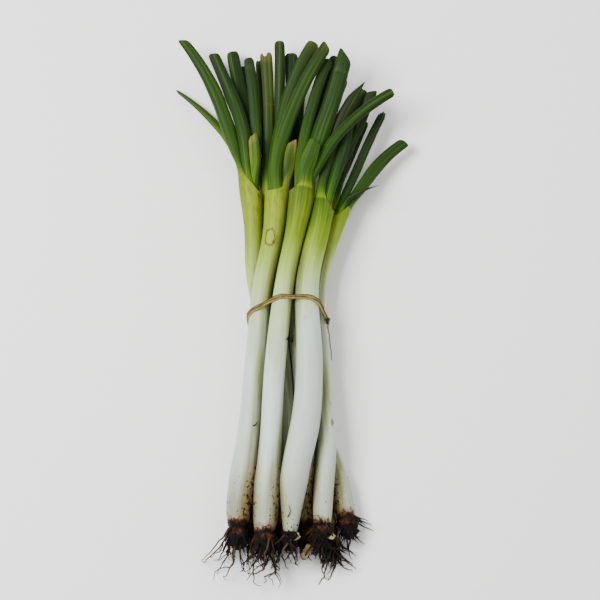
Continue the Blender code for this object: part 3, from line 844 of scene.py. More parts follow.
flesh = blend(tree, wilt_share, flesh, colour("#2F2419"))
flesh = blend(tree, product(tree, remembered(tree, "inside"), 0.55), flesh, colour("#30481D"))
# Painted shade in dark lines along the leaf's creases, and painted highlight lines between them.
on_green = part_of(tree, ripeness, 0.42, 0.6)
shaded = product(tree, part_of(tree, bands, 0.56, 0.42), on_green, 0.5)
flesh = blend(tree, shaded, flesh, colour("#14240A"))
lit = product(tree, part_of(tree, bands, 0.54, 0.68), on_green, 0.35)
flesh = blend(tree, lit, flesh, colour("#4F7418"))
on_white = part_of(tree, ripeness, 0.34, 0.16)
film = product(tree, part_of(tree, blotches, 0.42, 0.68), on_white, 0.4)
flesh = blend(tree, film, flesh, colour("#A2AC8E"))
lines = product(tree, part_of(tree, veins, 0.56, 0.72), on_white, 0.3)
flesh = blend(tree, lines, flesh, colour("#9FAA90"))

# %% [markdown]
# Then the marks of the field, with some painted shade: an olive-yellow stain where two plants press
# together, which turns to painted shade where they touch, a dry buff edge on every rim and cut, a
# grey-brown tint low on the shank that is partly stain and partly painted shade, darker towards the
# foot and in the gaps, and soil. Soil grips the foot in a jagged rusty band, and above it only specks
# are left, thickest in the gaps between the plants.

# %% Stains, painted shade, dry edges and soil
near = remembered(tree, "crowding")
# Partly real stain, partly painted shade: olive-yellow near the next shank, darkening to painted shade
# where the shanks touch.
stain_share = product(tree, part_of(tree, near, 0.0, 0.6), part_of(tree, streaks, 0.0, 0.7), 0.9)
stain_share = product(tree, stain_share, part_of(tree, ripeness, 0.5, 0.3))
stain_colours = add(tree, "ShaderNodeValToRGB", {"Fac": near}, stops=(
    (0.1, "#A3AC74"), (0.5, "#7C8438"), (0.8, "#5E5C24"), (1.0, "#3C3218"))).outputs[0]
flesh = blend(tree, stain_share, flesh, stain_colours)
dry_share = product(tree, remembered(tree, "dry"), part_of(tree, specks, 0.25, 0.7))
flesh = blend(tree, dry_share, flesh, colour("#897C3C"))
splash = remembered(tree, "splash")
# Partly real stain, partly painted shade: a grey-brown tint that grows towards the foot and in the
# gaps.
tea_share = product(tree, splash, maths(tree, "MULTIPLY_ADD", near, 0.9, 0.5),
                    part_of(tree, blotches, 0.0, 0.7))
tea_colours = add(tree, "ShaderNodeValToRGB", {"Fac": splash}, stops=(
    (0.1, "#87866A"), (0.6, "#7C744E"), (1.0, "#6A5B36"))).outputs[0]
flesh = blend(tree, tea_share, flesh, tea_colours)
smears = product(tree, near, splash, part_of(tree, streaks, 0.45, 0.75), 0.85)
flesh = blend(tree, smears, flesh, colour("#4A3A20"))
gap_dirt = maths(tree, "MULTIPLY_ADD", near, maths(tree, "MULTIPLY_ADD", splash, 0.09, 0.045),
                 dirt_grain)
speck_level = maths(tree, "MULTIPLY_ADD", splash, 0.07, gap_dirt)
flesh = blend(tree, part_of(tree, speck_level, 0.70, 0.74), flesh, colour("#231B12"))
ragged = maths(tree, "ADD", maths(tree, "SUBTRACT", dirt_grain, 0.5),
               maths(tree, "SUBTRACT", blotches, 0.5))
soil_level = maths(tree, "MULTIPLY_ADD", ragged, 1.1, remembered(tree, "soil"))
halo_share = product(tree, part_of(tree, soil_level, 0.40, 0.72), 0.7)
flesh = blend(tree, halo_share, flesh, colour("#5F4A24"))
soil_share = part_of(tree, soil_level, 0.62, 0.78)
soil_colours = add(tree, "ShaderNodeValToRGB", {"Fac": soil_level}, stops=(
    (0.6, "#684821"), (0.74, "#442915"), (0.9, "#1F150E"), (1.0, "#120E0B"))).outputs[0]
flesh = blend(tree, soil_share, flesh, soil_colours)

# %% [markdown]
# One plant has an old scar, a healed oval with a brown rim, and a few shanks carry faint tan
# spots. Each mark is an oval at a place on the bunch, broken by the same noise as the skin.

# %% Scar and spots
whereabouts = add(tree, "ShaderNodeTexCoord").outputs["Object"]


def oval_distance(tree, middle, half_size, broken):
    """How far a point is from a mark's middle: 1 on the mark's edge. Sizes in mm."""
    away = add(tree, "ShaderNodeVectorMath", {0: whereabouts, 1: [v * MM for v in middle]},
               operation="SUBTRACT")
    scaled = add(tree, "ShaderNodeVectorMath", {
        0: away, 1: (1 / (half_size[0] * MM), 1 / (half_size[1] * MM), 0.04 / MM)},
        operation="MULTIPLY")
    distance = add(tree, "ShaderNodeVectorMath", {0: scaled}, operation="LENGTH").outputs["Value"]
    return maths(tree, "MULTIPLY_ADD", maths(tree, "SUBTRACT", specks, 0.5), broken, distance)


scar = oval_distance(tree, (-15.4, 38.0, 44.0), (4.1, 6.8), 1.0)
flesh = blend(tree, product(tree, part_of(tree, scar, 1.0, 0.6), 0.5), flesh, colour("#9AA032"))
scar_rim = product(tree, part_of(tree, scar, 0.78, 0.9), part_of(tree, scar, 1.1, 0.98), 0.9)
flesh = blend(tree, product(tree, scar_rim, part_of(tree, dirt_grain, 0.3, 0.5)), flesh,
              colour("#4A3A10"))
for middle, half_size, strength, code in (
        ((9.4, -23.0, 44.0), (2.2, 2.4), 0.35, "#A08F5A"),
        ((28.7, -96.3, 34.0), (1.4, 3.4), 0.8, "#6B5228"),
        ((-11.0, 36.0, 44.0), (1.6, 5.5), 0.5, "#6A6220"),
        ((27.5, -82.0, 34.0), (1.2, 2.2), 0.5, "#7A6430"),
        ((33.0, -125.0, 30.0), (3.5, 4.0), 0.35, "#8A7748")):
    spot_share = part_of(tree, oval_distance(tree, middle, half_size, 1.6), 1.1, 0.5)
    flesh = blend(tree, product(tree, spot_share, strength), flesh, colour(code))

# %% [markdown]
# Wax makes the green leaf a little rougher than the wet white shank, and both have a soft, low
# gloss. A touch of light goes into the flesh, which takes the hardness off the white.

# %% Skin shader
ripples = maths(tree, "ADD", maths(tree, "MULTIPLY", veins, 0.5), streaks)
bump = add(tree, "ShaderNodeBump", {"Height": ripples, "Distance": 0.16 * MM, "Strength": 0.4})
waxy = part_of(tree, ripeness, 0.25, 0.7)
roughness = maths(tree, "MULTIPLY_ADD", waxy, 0.22, maths(tree, "MULTIPLY_ADD", specks, 0.2, 0.2))
finish_with(tree, add(tree, "ShaderNodeBsdfPrincipled", {
    "Base Color": flesh, "Roughness": roughness, "IOR": 1.40, "Specular IOR Level": 0.12,
    "Normal": bump, "Subsurface Weight": 0.06, "Subsurface Radius": (1.0, 1.0, 0.4),
    "Subsurface Scale": 1.5 * MM}))
for piece in list(sheaths.values()) + list(inner_leaves.values()):
    piece.data.materials.append(skin_material)
print("skin nodes:", len(tree.nodes))

# %% [markdown]
# ## Roots
#
# Under each shank the root plate is a short knuckle, black with soil, and out of it grow some
# dozens of wiry roots, each about a millimetre thick and tapering. Pulled from the ground they
# are broken at all lengths and point away from the plant. Drawing hundreds of them by hand would
# take days and would still look even, so a small tree of Geometry Nodes scatters them on the
# plate, grows each one as a curve, bends it with noise, and stops it at the table.

# %% Root plates
PLATE_COLUMNS = 64
PLATE_AT = (-2.0, -0.5, 1.0, 3.5, 6.0, 8.5, 10.5, 12.0, 13.0)
PLATE_SIZE = (0.80, 0.99, 1.07, 1.10, 1.06, 0.96, 0.80, 0.55, 0.2)
PLATE_ROWS = np.concatenate((np.arange(-2.0, 12.0, 0.6), (12.4, 12.8, 13.0)))
LOWEST_PLATE = 0.1 * MM


def root_look(strands=46, length=17.0, plate=1.0, spread=0.45):
    """How many roots a plant keeps, their length in mm, its plate's size and their stray."""
    return Look(**locals())


ROOT_LOOKS = {
    "onion_1": root_look(strands=26, length=18.0, plate=1.15),
    "onion_2": root_look(strands=30, length=21.0, plate=1.15, spread=0.35),
    "onion_3": root_look(strands=26, length=9.0, plate=1.0, spread=0.7),
    "onion_4": root_look(strands=46, length=11.0, plate=1.5, spread=0.8),
    "onion_5": root_look(strands=18, length=14.0, plate=1.1),
    "onion_6": root_look(strands=24, length=21.0, plate=1.1, spread=0.4),
    "onion_7": root_look(strands=30, length=12.0, plate=1.3, spread=0.7),
    "onion_8": root_look(strands=26, length=12.0, plate=1.15, spread=0.9),
    "onion_9": root_look(strands=34, length=13.0, plate=1.3, spread=0.7),
}


def lumps_at(points, size, depth, seed):
    """How far each point of a lumpy crust is pushed out, in metres."""
    shift = Vector((seed * 1.7, seed * 2.9, seed * 0.6))
    found = [noise.fractal(Vector(spot) / size + shift, 1.0, 2.0, 3) for spot in points.reshape(-1, 3)]
    return depth * np.array(found).reshape(points.shape[:-1])


def root_plate(plant):
    """The lumpy black knuckle under a shank."""
    look, shank = ROOT_LOOKS[plant], shanks[plant]
    turn = np.linspace(0.0, 2 * math.pi, PLATE_COLUMNS, endpoint=False)
    along = np.array([[-place * look.plate * MM] * PLATE_COLUMNS for place in PLATE_ROWS])
    size = np.interp(PLATE_ROWS, PLATE_AT, PLATE_SIZE)[:, None]
    points = shank.skin(along, np.tile(turn, (len(along), 1)), size * np.ones_like(along))
    outward = unit(points - points.mean(axis=1, keepdims=True))
    depth = 1.9 * MM * soft_step(-1.5, 2.5, -along / MM)
    bumps = lumps_at(points, 5.0 * MM, 1.0, int(plant[-1])) + 0.7 * lumps_at(points, 1.6 * MM, 1.0, 3)
    points = points + outward * (bumps * depth)[..., None]
    points[..., 2] = np.maximum(points[..., 2], LOWEST_PLATE)
    band = soft_step(-0.5, 0.8, -along / MM) * soft_step(5.5, 2.5, -along / MM)
    return closed_skin(f"{plant}_plate", points[::-1], {"strand": np.zeros_like(along),
                                                        "rust": band[::-1]})


# %% [markdown]
# The tree below works for all nine plants. Its inputs are what a gardener would name: how many
# roots, how long, how thick, how far they stray, and which way they point.

# %% Tree that grows roots
ROOT_STATIONS = 13
ROOT_SIDES = 5
ROOT_THICKNESS = 0.62 * MM
ROOT_CLEARANCE = 0.5 * MM


def new_tree(name, inputs):
    """An empty Geometry Nodes tree with named inputs."""
    tree = bpy.data.node_groups.new(name, "GeometryNodeTree")
    tree.interface.new_socket("Geometry", in_out="INPUT", socket_type="NodeSocketGeometry")
    for label, kind, value in inputs:
        socket = tree.interface.new_socket(label, in_out="INPUT", socket_type=f"NodeSocket{kind}")
        if value is not None:
            socket.default_value = value
    tree.interface.new_socket("Geometry", in_out="OUTPUT", socket_type="NodeSocketGeometry")
    return tree, add(tree, "NodeGroupInput").outputs


def vector_maths(tree, operation, a, b=(0.0, 0.0, 0.0)):
    """Arithmetic on two directions or places."""
    return add(tree, "ShaderNodeVectorMath", {0: a, 1: b}, operation=operation).outputs[0]


def stretched(tree, direction, factor):
    """A direction made longer or shorter by a socket or a number."""
    return add(tree, "ShaderNodeVectorMath", {0: direction, "Scale": factor},
               operation="SCALE").outputs[0]


root_tree, given = new_tree("wiry_roots", (
    ("Roots for each square metre", "Float", 50000.0), ("Length", "Float", 0.02),
    ("Thickness", "Float", 0.00045), ("Stray", "Float", 0.5), ("Way down", "Vector", None),
    ("Seed", "Int", 1), ("Finish", "Material", None)))
scatter = add(root_tree, "GeometryNodeDistributePointsOnFaces", {
    "Mesh": given["Geometry"], "Density": given["Roots for each square metre"],
    "Seed": given["Seed"]}, distribute_method="RANDOM")
chance = add(root_tree, "FunctionNodeRandomValue", {"Min": 0.0, "Max": 1.0,
                                                    "Seed": given["Seed"]}, data_type="FLOAT")
short = maths(root_tree, "POWER", chance.outputs[1], 3.0)
size = maths(root_tree, "MULTIPLY", given["Length"], maths(root_tree, "ADD", short, 0.3))
tilt = vector_maths(root_tree, "ADD", given["Way down"],
                    stretched(root_tree, scatter.outputs["Normal"], given["Stray"]))
turned = add(root_tree, "FunctionNodeAlignRotationToVector", {"Vector": tilt}, axis="Z")
straight = add(root_tree, "GeometryNodeCurvePrimitiveLine", {"End": (0.0, 0.0, 1.0)})
stations = add(root_tree, "GeometryNodeResampleCurve", {"Curve": straight,
                                                        "Count": ROOT_STATIONS})
even = add(root_tree, "ShaderNodeCombineXYZ", {0: size, 1: size, 2: size})
planted = add(root_tree, "GeometryNodeInstanceOnPoints", {
    "Points": scatter.outputs["Points"], "Instance": stations, "Rotation": turned,
    "Scale": even})
marked = add(root_tree, "GeometryNodeStoreNamedAttribute", {
    "Geometry": planted, "Name": "strand", "Value": chance.outputs[1]}, data_type="FLOAT",
    domain="INSTANCE")
grown = add(root_tree, "GeometryNodeRealizeInstances", {"Geometry": marked})

# %% [markdown]
# Straight wires become roots in three moves: noise that grows towards the tip, a curl that is
# different for each root, and a pull downwards. Whatever would go through the table slides
# along it.

# %% Bends, sag and table
strand = add(root_tree, "GeometryNodeInputNamedAttribute", {"Name": "strand"},
             data_type="FLOAT").outputs[0]
spot = add(root_tree, "GeometryNodeInputPosition")
travel = add(root_tree, "GeometryNodeSplineParameter").outputs["Length"]
share = add(root_tree, "GeometryNodeSplineParameter").outputs["Factor"]
apart = add(root_tree, "ShaderNodeCombineXYZ", {0: maths(root_tree, "MULTIPLY", strand, 0.31),
                                                1: maths(root_tree, "MULTIPLY", strand, 0.17)})
wobble = add(root_tree, "ShaderNodeTexNoise", {
    "Vector": vector_maths(root_tree, "ADD", spot, apart), "Scale": 1.0 / (11.0 * MM),
    "Detail": 2.0, "Roughness": 0.6}, noise_dimensions="3D").outputs["Color"]
wobble = vector_maths(root_tree, "SUBTRACT", wobble, (0.5, 0.5, 0.5))
bent = stretched(root_tree, wobble, maths(root_tree, "MULTIPLY", travel, 1.25))
curl_turn = maths(root_tree, "ADD", maths(root_tree, "MULTIPLY", strand, 39.0),
                  maths(root_tree, "MULTIPLY", share, 2.6))
curl = add(root_tree, "ShaderNodeCombineXYZ", {0: maths(root_tree, "COSINE", curl_turn),
                                               2: maths(root_tree, "SINE", curl_turn)})
curled = stretched(root_tree, curl, maths(root_tree, "MULTIPLY", maths(
    root_tree, "MULTIPLY", travel, share), 0.32))
drooped = add(root_tree, "ShaderNodeCombineXYZ", {2: maths(root_tree, "MULTIPLY", maths(
    root_tree, "MULTIPLY", travel, share), -0.45)})
moved = vector_maths(root_tree, "ADD", vector_maths(root_tree, "ADD", bent, curled), drooped)
bending = add(root_tree, "GeometryNodeSetPosition", {"Geometry": grown, "Offset": moved})
landed = add(root_tree, "GeometryNodeInputPosition")
apart_from_table = add(root_tree, "ShaderNodeSeparateXYZ", {0: landed})
kept_up = maths(root_tree, "MAXIMUM", apart_from_table.outputs[2], ROOT_CLEARANCE)
lying = add(root_tree, "ShaderNodeCombineXYZ", {0: apart_from_table.outputs[0],
                                                1: apart_from_table.outputs[1], 2: kept_up})
resting = add(root_tree, "GeometryNodeSetPosition", {"Geometry": bending, "Position": lying})

# %% Thickness, skin and plate
taper = maths(root_tree, "SUBTRACT", 1.0, maths(root_tree, "MULTIPLY", share, 0.72))
stout = maths(root_tree, "ADD", maths(root_tree, "MULTIPLY", strand, 0.7), 0.65)
radius = maths(root_tree, "MULTIPLY", given["Thickness"], maths(root_tree, "MULTIPLY", taper, stout))
profile = add(root_tree, "GeometryNodeCurvePrimitiveCircle", {"Resolution": ROOT_SIDES,
                                                              "Radius": 1.0})
wires = add(root_tree, "GeometryNodeCurveToMesh", {
    "Curve": resting, "Profile Curve": profile, "Scale": radius, "Fill Caps": True})
both = add(root_tree, "GeometryNodeJoinGeometry")
root_tree.links.new(given["Geometry"], both.inputs[0])
root_tree.links.new(wires.outputs[0], both.inputs[0])
smooth = add(root_tree, "GeometryNodeSetShadeSmooth", {"Geometry": both})
finished = add(root_tree, "GeometryNodeSetMaterial", {
    "Geometry": add(root_tree, "GeometryNodeRealizeInstances", {"Geometry": smooth}),
    "Material": given["Finish"]})
add(root_tree, "NodeGroupOutput", {0: finished})
print("root tree nodes:", len(root_tree.nodes))

# %% [markdown]
# One tree serves every plant: only its input values change. The result is turned into a plain
# mesh, because a live modifier would be worked out again wherever the model is used.

# %% Trees into plain meshes
def grown_mesh(base, tree, values, name):
    """The mesh that a tree makes from a base object, as a plain object of its own."""
    modifier = base.modifiers.new("grow", "NODES")
    modifier.node_group = tree
    sockets = {item.name: item.identifier for item in tree.interface.items_tree
               if item.in_out == "INPUT"}
    for label, value in values.items():
        modifier[sockets[label]] = value
    base.update_tag()
    layer = bpy.context.evaluated_depsgraph_get()
    mesh = bpy.data.meshes.new_from_object(base.evaluated_get(layer))
    mesh.name = name
    bpy.data.objects.remove(base, do_unlink=True)
    made = bpy.data.objects.new(name, mesh)
    bpy.context.scene.collection.objects.link(made)
    return made


# %% [markdown]
# A root is tough plant fibre that grew through wet soil, and the soil has dried on it. It is
# matte and nearly black, with rusty patches, and only a few strands show their own tan colour.

# %% Root material
root_material, tree = new_material("soiled_root_fibre")
strand_chance = remembered(tree, "strand")
here = add(tree, "ShaderNodeTexCoord").outputs["Object"]
crust = add(tree, "ShaderNodeTexNoise", {"Vector": here, "Scale": 1.0 / (1.6 * MM), "Detail": 4.0,
                                         "Roughness": 0.7}).outputs[0]
patches = add(tree, "ShaderNodeTexNoise", {"Vector": here, "Scale": 1.0 / (7.0 * MM),
                                           "Detail": 2.0}).outputs[0]
strand_colours = add(tree, "ShaderNodeValToRGB", {"Fac": strand_chance}, stops=(
    (0.0, "#0D0907"), (0.7, "#120D09"), (0.88, "#1C140C"), (0.97, "#33261A"), (1.0, "#4A3C28"))
    ).outputs[0]
rust_share = product(tree, part_of(tree, patches, 0.5, 0.72), part_of(tree, crust, 0.4, 0.7), 0.7)
root_colour = blend(tree, rust_share, strand_colours, colour("#2C1B0F"))
band_share = product(tree, remembered(tree, "rust"), part_of(tree, crust, 0.3, 0.6), 0.9)
band_colours = add(tree, "ShaderNodeValToRGB", {"Fac": patches}, stops=(
    (0.38, "#150D08"), (0.5, "#2E1B0C"), (0.66, "#553414"))).outputs[0]
root_colour = blend(tree, band_share, root_colour, band_colours)
root_colour = blend(tree, part_of(tree, crust, 0.42, 0.3), root_colour, colour("#070504"))
root_bump = add(tree, "ShaderNodeBump", {"Height": crust, "Distance": 0.5 * MM, "Strength": 0.8})
finish_with(tree, add(tree, "ShaderNodeBsdfPrincipled", {
    "Base Color": root_colour, "Roughness": 0.75, "Specular IOR Level": 0.1,
    "Normal": root_bump}))

# %% Grow the roots
roots = {}
for plant in PLANT_NAMES:
    look, shank = ROOT_LOOKS[plant], shanks[plant]
    heading = shank.table[0, 3:6]
    plate_width = shank.table[0, 9]
    plate_area = 2 * math.pi * plate_width * PLATE_AT[-1] * MM
    roots[plant] = grown_mesh(root_plate(plant), root_tree, {
        "Roots for each square metre": look.strands / plate_area,
        "Length": look.length * MM, "Thickness": ROOT_THICKNESS, "Stray": look.spread,
        "Way down": Vector(-heading), "Seed": int(plant[-1]),
        "Finish": root_material}, f"{plant}_root_tuft")
print("root triangles:", sum(len(piece.data.polygons) for piece in roots.values()) * 2)

# %% [markdown]
# ## The rush tie
#
# Growers tie a bunch with a strip of dried rush: two flat, springy strands side by side, straw
# coloured with dark edges, knotted at one side with a loose end. It is pulled taut, so it runs
# straight over the hollows between the shanks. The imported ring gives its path, and the strands
# are drawn along it by a tree, because each strand should wander a little on its own.

# %% Path of the band
BAND_RADIUS = 1.15 * MM
BAND_SINK = 1.9 * MM
BAND_STEP = 1.5 * MM
BAND_SMOOTHING = 2
TAIL_FACETS = 6


def band_path():
    """A taut closed path just above the shanks, with the way out and the way across it."""
    corners = corners_of("tie_band")
    middle = corners.mean(0)
    directions = np.linalg.svd(corners - middle, full_matrices=False)[2]
    flat = (corners - middle) @ directions[:2].T
    level = np.abs((corners - middle) @ directions[2]) < 0.3 * BAND_RADIUS
    flat = flat[level]
    outer = flat[geometry.convex_hull_2d([tuple(spot) for spot in flat])]
    closed = np.vstack((outer, outer[:1]))
    travelled = np.concatenate(([0.0], np.cumsum(np.linalg.norm(np.diff(closed, axis=0), axis=1))))
    marks = np.linspace(0.0, travelled[-1], round(travelled[-1] / BAND_STEP), endpoint=False)
    loop = np.column_stack([np.interp(marks, travelled, closed[:, axis]) for axis in range(2)])
    for _ in range(BAND_SMOOTHING):
        loop = 0.5 * loop + 0.25 * (np.roll(loop, 1, axis=0) + np.roll(loop, -1, axis=0))
    run = unit(np.roll(loop, -1, axis=0) - np.roll(loop, 1, axis=0))
    outward = np.column_stack((run[:, 1], -run[:, 0]))
    outward *= np.sign((outward * loop).sum(1).mean())
    path = middle + (loop - BAND_SINK * outward) @ directions[:2]
    return path, outward @ directions[:2], directions[2] * np.ones_like(path)


def path_object(name, path, outward, facing, closed):
    """A bare line whose points know the way out and the way across."""
    mesh = bpy.data.meshes.new(name)
    edges = [(i, i + 1) for i in range(len(path) - 1)] + ([(len(path) - 1, 0)] if closed else [])
    mesh.from_pydata(path.tolist(), edges, [])
    for key, values in (("outward", outward), ("facing", facing)):
        attribute = mesh.attributes.new(key, "FLOAT_VECTOR", "POINT")
        attribute.data.foreach_set("vector", np.asarray(values, dtype=np.float32).ravel())
    made = bpy.data.objects.new(name, mesh)
    bpy.context.scene.collection.objects.link(made)
    return made


# %% Tree that lays the strands
rush_tree, given = new_tree("rush_strands", (
    ("Strands", "Int", 2), ("Width", "Float", 0.0016), ("Thickness", "Float", 0.0009),
    ("Kink", "Float", 0.0005), ("Fray", "Float", 0.0), ("Seed", "Float", 0.0),
    ("Finish", "Material", None)))
line = add(rush_tree, "GeometryNodeMeshToCurve", {"Mesh": given["Geometry"]})
doubled = add(rush_tree, "GeometryNodeDuplicateElements", {
    "Geometry": line, "Amount": given["Strands"]}, domain="SPLINE")
number = doubled.outputs["Duplicate Index"]
facing = add(rush_tree, "GeometryNodeInputNamedAttribute", {"Name": "facing"},
             data_type="FLOAT_VECTOR").outputs[0]
outward = add(rush_tree, "GeometryNodeInputNamedAttribute", {"Name": "outward"},
              data_type="FLOAT_VECTOR").outputs[0]
half_way = maths(rush_tree, "MULTIPLY", maths(rush_tree, "SUBTRACT", given["Strands"], 1.0), 0.5)
place = maths(rush_tree, "SUBTRACT", number, half_way)
aside = stretched(rush_tree, facing, maths(rush_tree, "MULTIPLY", maths(
    rush_tree, "MULTIPLY", place, given["Width"]), 0.88))
seeded = add(rush_tree, "ShaderNodeCombineXYZ", {
    0: maths(rush_tree, "ADD", maths(rush_tree, "MULTIPLY", number, 0.37), given["Seed"])})
stray = add(rush_tree, "ShaderNodeTexNoise", {
    "Vector": vector_maths(rush_tree, "ADD", add(rush_tree, "GeometryNodeInputPosition"), seeded),
    "Scale": 1.0 / (7.0 * MM), "Detail": 2.0, "Roughness": 0.6}).outputs["Color"]
stray = stretched(rush_tree, vector_maths(rush_tree, "SUBTRACT", stray, (0.5, 0.5, 0.5)),
                  maths(rush_tree, "MULTIPLY", given["Kink"], 2.0))
laid = add(rush_tree, "GeometryNodeSetPosition", {
    "Geometry": doubled, "Offset": vector_maths(rush_tree, "ADD", aside, stray)})
upright = add(rush_tree, "GeometryNodeSetCurveNormal", {"Curve": laid, "Normal": outward},
              mode="FREE")

# %% [markdown]
# A rush strip is a flattened tube with fine ribs. Its section is a ring of points pressed flat,
# with every second point pulled in a little, and each point remembers how near the edge it is,
# since the edges dry darker.

# %% Section of a strand
ring = add(rush_tree, "GeometryNodeCurvePrimitiveCircle", {"Resolution": 16, "Radius": 1.0})
ring_spot = add(rush_tree, "ShaderNodeSeparateXYZ", {0: add(rush_tree, "GeometryNodeInputPosition")})
marked_ring = add(rush_tree, "GeometryNodeStoreNamedAttribute", {
    "Geometry": ring, "Name": "edge", "Value": maths(rush_tree, "ABSOLUTE", ring_spot.outputs[0])},
    data_type="FLOAT", domain="POINT")
odd = maths(rush_tree, "MODULO", add(rush_tree, "GeometryNodeInputIndex"), 2.0)
ribbed = maths(rush_tree, "SUBTRACT", 0.5, maths(rush_tree, "MULTIPLY", odd, 0.06))
section = add(rush_tree, "GeometryNodeSetPosition", {
    "Geometry": marked_ring, "Position": add(rush_tree, "ShaderNodeCombineXYZ", {
        0: maths(rush_tree, "MULTIPLY", maths(
            rush_tree, "MULTIPLY", ring_spot.outputs[0], given["Width"]), ribbed),
        1: maths(rush_tree, "MULTIPLY", maths(
            rush_tree, "MULTIPLY", ring_spot.outputs[1], given["Thickness"]), ribbed)})})
reach = add(rush_tree, "GeometryNodeSplineParameter").outputs["Factor"]
thinning = maths(rush_tree, "SUBTRACT", 1.0, maths(rush_tree, "MULTIPLY", reach, given["Fray"]))
strips = add(rush_tree, "GeometryNodeCurveToMesh", {
    "Curve": upright, "Profile Curve": section, "Scale": thinning, "Fill Caps": True})
rounded = add(rush_tree, "GeometryNodeSetShadeSmooth", {"Geometry": strips})
finished = add(rush_tree, "GeometryNodeSetMaterial", {
    "Geometry": add(rush_tree, "GeometryNodeRealizeInstances", {"Geometry": rounded}),
    "Material": given["Finish"]})
add(rush_tree, "NodeGroupOutput", {0: finished})
print("rush tree nodes:", len(rush_tree.nodes))

# %% [markdown]
# Dried rush is straw: hard, faintly glossy, golden in the middle of the strip and brown where it
# was bent or has aged. The knot is the oldest and darkest part, and the thin end is greyer.

# %% Rush material
def rush_finish(name, middle, edge, dark_share):
    """Dried rush with ribs along the strip, in the given colours."""
    material, tree = new_material(name)
    here = add(tree, "ShaderNodeTexCoord").outputs["Object"]
    mottled = add(tree, "ShaderNodeTexNoise", {"Vector": here, "Scale": 1.0 / (3.0 * MM),
                                               "Detail": 3.0, "Roughness": 0.6}).outputs[0]
    fibres = add(tree, "ShaderNodeTexNoise", {"Vector": here, "Scale": 1.0 / (0.35 * MM),
                                              "Detail": 2.0}).outputs[0]
    to_edge = maths(tree, "ADD", remembered(tree, "edge"),
                    maths(tree, "MULTIPLY", maths(tree, "SUBTRACT", mottled, 0.5), 0.6))
    straw = blend(tree, part_of(tree, to_edge, 0.45, 0.75), colour(middle), colour(edge))
    straw = blend(tree, product(tree, part_of(tree, mottled, 0.5, 0.75), dark_share), straw,
                  colour("#3D2C17"))
    straw = blend(tree, product(tree, part_of(tree, fibres, 0.5, 0.8), 0.35), straw,
                  colour("#514123"))
    bump = add(tree, "ShaderNodeBump", {"Height": fibres, "Distance": 0.12 * MM,
                                        "Strength": 0.6})
    finish_with(tree, add(tree, "ShaderNodeBsdfPrincipled", {
        "Base Color": straw, "Roughness": 0.5, "IOR": 1.45, "Normal": bump}))
    return material


band_rush = rush_finish("dried_rush_strip", "#A88C42", "#2C1E0C", 0.35)
knot_rush = rush_finish("aged_rush_knot", "#312313", "#191109", 0.8)
tail_rush = rush_finish("dried_rush_end", "#A3A066", "#5E5A34", 0.15)

# %% [markdown]
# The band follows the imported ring. The knot is one strand on the line of a trefoil, the simplest
# real knot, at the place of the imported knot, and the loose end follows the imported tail.

# %% Band, knot and loose end
KNOT_STATIONS = 60
KNOT_SIZE = (0.42, 0.62, 0.75)

path, outward, facing = band_path()
tie_band = grown_mesh(path_object("band_line", path, outward, facing, True), rush_tree, {
    "Width": 2.6 * MM, "Thickness": 1.1 * MM, "Kink": 1.1 * MM, "Seed": 0.2,
    "Finish": band_rush}, "rush_band")

knot_low, knot_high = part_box("tie_knot")
knot_middle = np.array((Vector(knot_low) + Vector(knot_high)) / 2)
turn = np.linspace(0.0, 2 * math.pi, KNOT_STATIONS, endpoint=False)
loops = np.column_stack(((np.sin(turn) + 2 * np.sin(2 * turn)) * KNOT_SIZE[0],
                         (np.cos(turn) - 2 * np.cos(2 * turn)) * KNOT_SIZE[1] + 1.0,
                         -np.sin(3 * turn) * KNOT_SIZE[2])) * MM
tie_knot = grown_mesh(
    path_object("knot_line", knot_middle + loops, unit(loops + 1e-6), np.roll(loops, 1, axis=1),
                True), rush_tree,
    {"Strands": 1, "Width": 1.7 * MM, "Thickness": 1.3 * MM, "Kink": 0.3 * MM, "Seed": 0.7,
     "Finish": knot_rush}, "rush_knot")

tail_line = trace("tie_tail", TAIL_FACETS)[0][::-1]
tail_out = np.tile((0.3, 0.0, 1.0), (len(tail_line), 1))
tie_tail = grown_mesh(
    path_object("tail_line", tail_line, tail_out, np.tile((1.0, 0.0, 0.0), (len(tail_line), 1)),
                False), rush_tree,
    {"Strands": 1, "Width": 1.5 * MM, "Thickness": 1.0 * MM, "Kink": 1.1 * MM, "Fray": 0.3,
     "Seed": 1.3, "Finish": tail_rush}, "rush_end")
print("tie faces:", [len(piece.data.polygons) for piece in (tie_band, tie_knot, tie_tail)])

# %% [markdown]
# ## What the field leaves behind
#
# A pulled bunch is never clean. Crumbs of dry soil sit on the feet and roll into the gaps, the
# outermost skins tear and curl at the root plate, and short bits of root lie where they fell.
# The crumbs repeat by the hundred, so a tree scatters them where the skin remembers dirt.

# %% Tree that scatters crumbs
LUMP_FACES = 20
FULL_TURNS = (6.28, 6.28, 6.28)

crumb_tree, given = new_tree("soil_crumbs", (
    ("Crumbs for each square metre", "Float", 30000.0), ("Smallest", "Float", 0.0002),
    ("Largest", "Float", 0.001), ("Seed", "Int", 1), ("Finish", "Material", None)))
grit = add(crumb_tree, "GeometryNodeInputNamedAttribute", {"Name": "grit"}, data_type="FLOAT")
sown = add(crumb_tree, "GeometryNodeDistributePointsOnFaces", {
    "Mesh": given["Geometry"], "Seed": given["Seed"], "Density": maths(
        crumb_tree, "MULTIPLY", grit, given["Crumbs for each square metre"])},
    distribute_method="RANDOM")
lump = add(crumb_tree, "GeometryNodeMeshIcoSphere", {"Radius": 1.0, "Subdivisions": 1})
luck = add(crumb_tree, "FunctionNodeRandomValue", {"Min": 0.0, "Max": 1.0, "Seed": 4},
           data_type="FLOAT").outputs[1]
grown_by = maths(crumb_tree, "MULTIPLY", maths(crumb_tree, "POWER", luck, 4.0), maths(
    crumb_tree, "SUBTRACT", given["Largest"], given["Smallest"]))
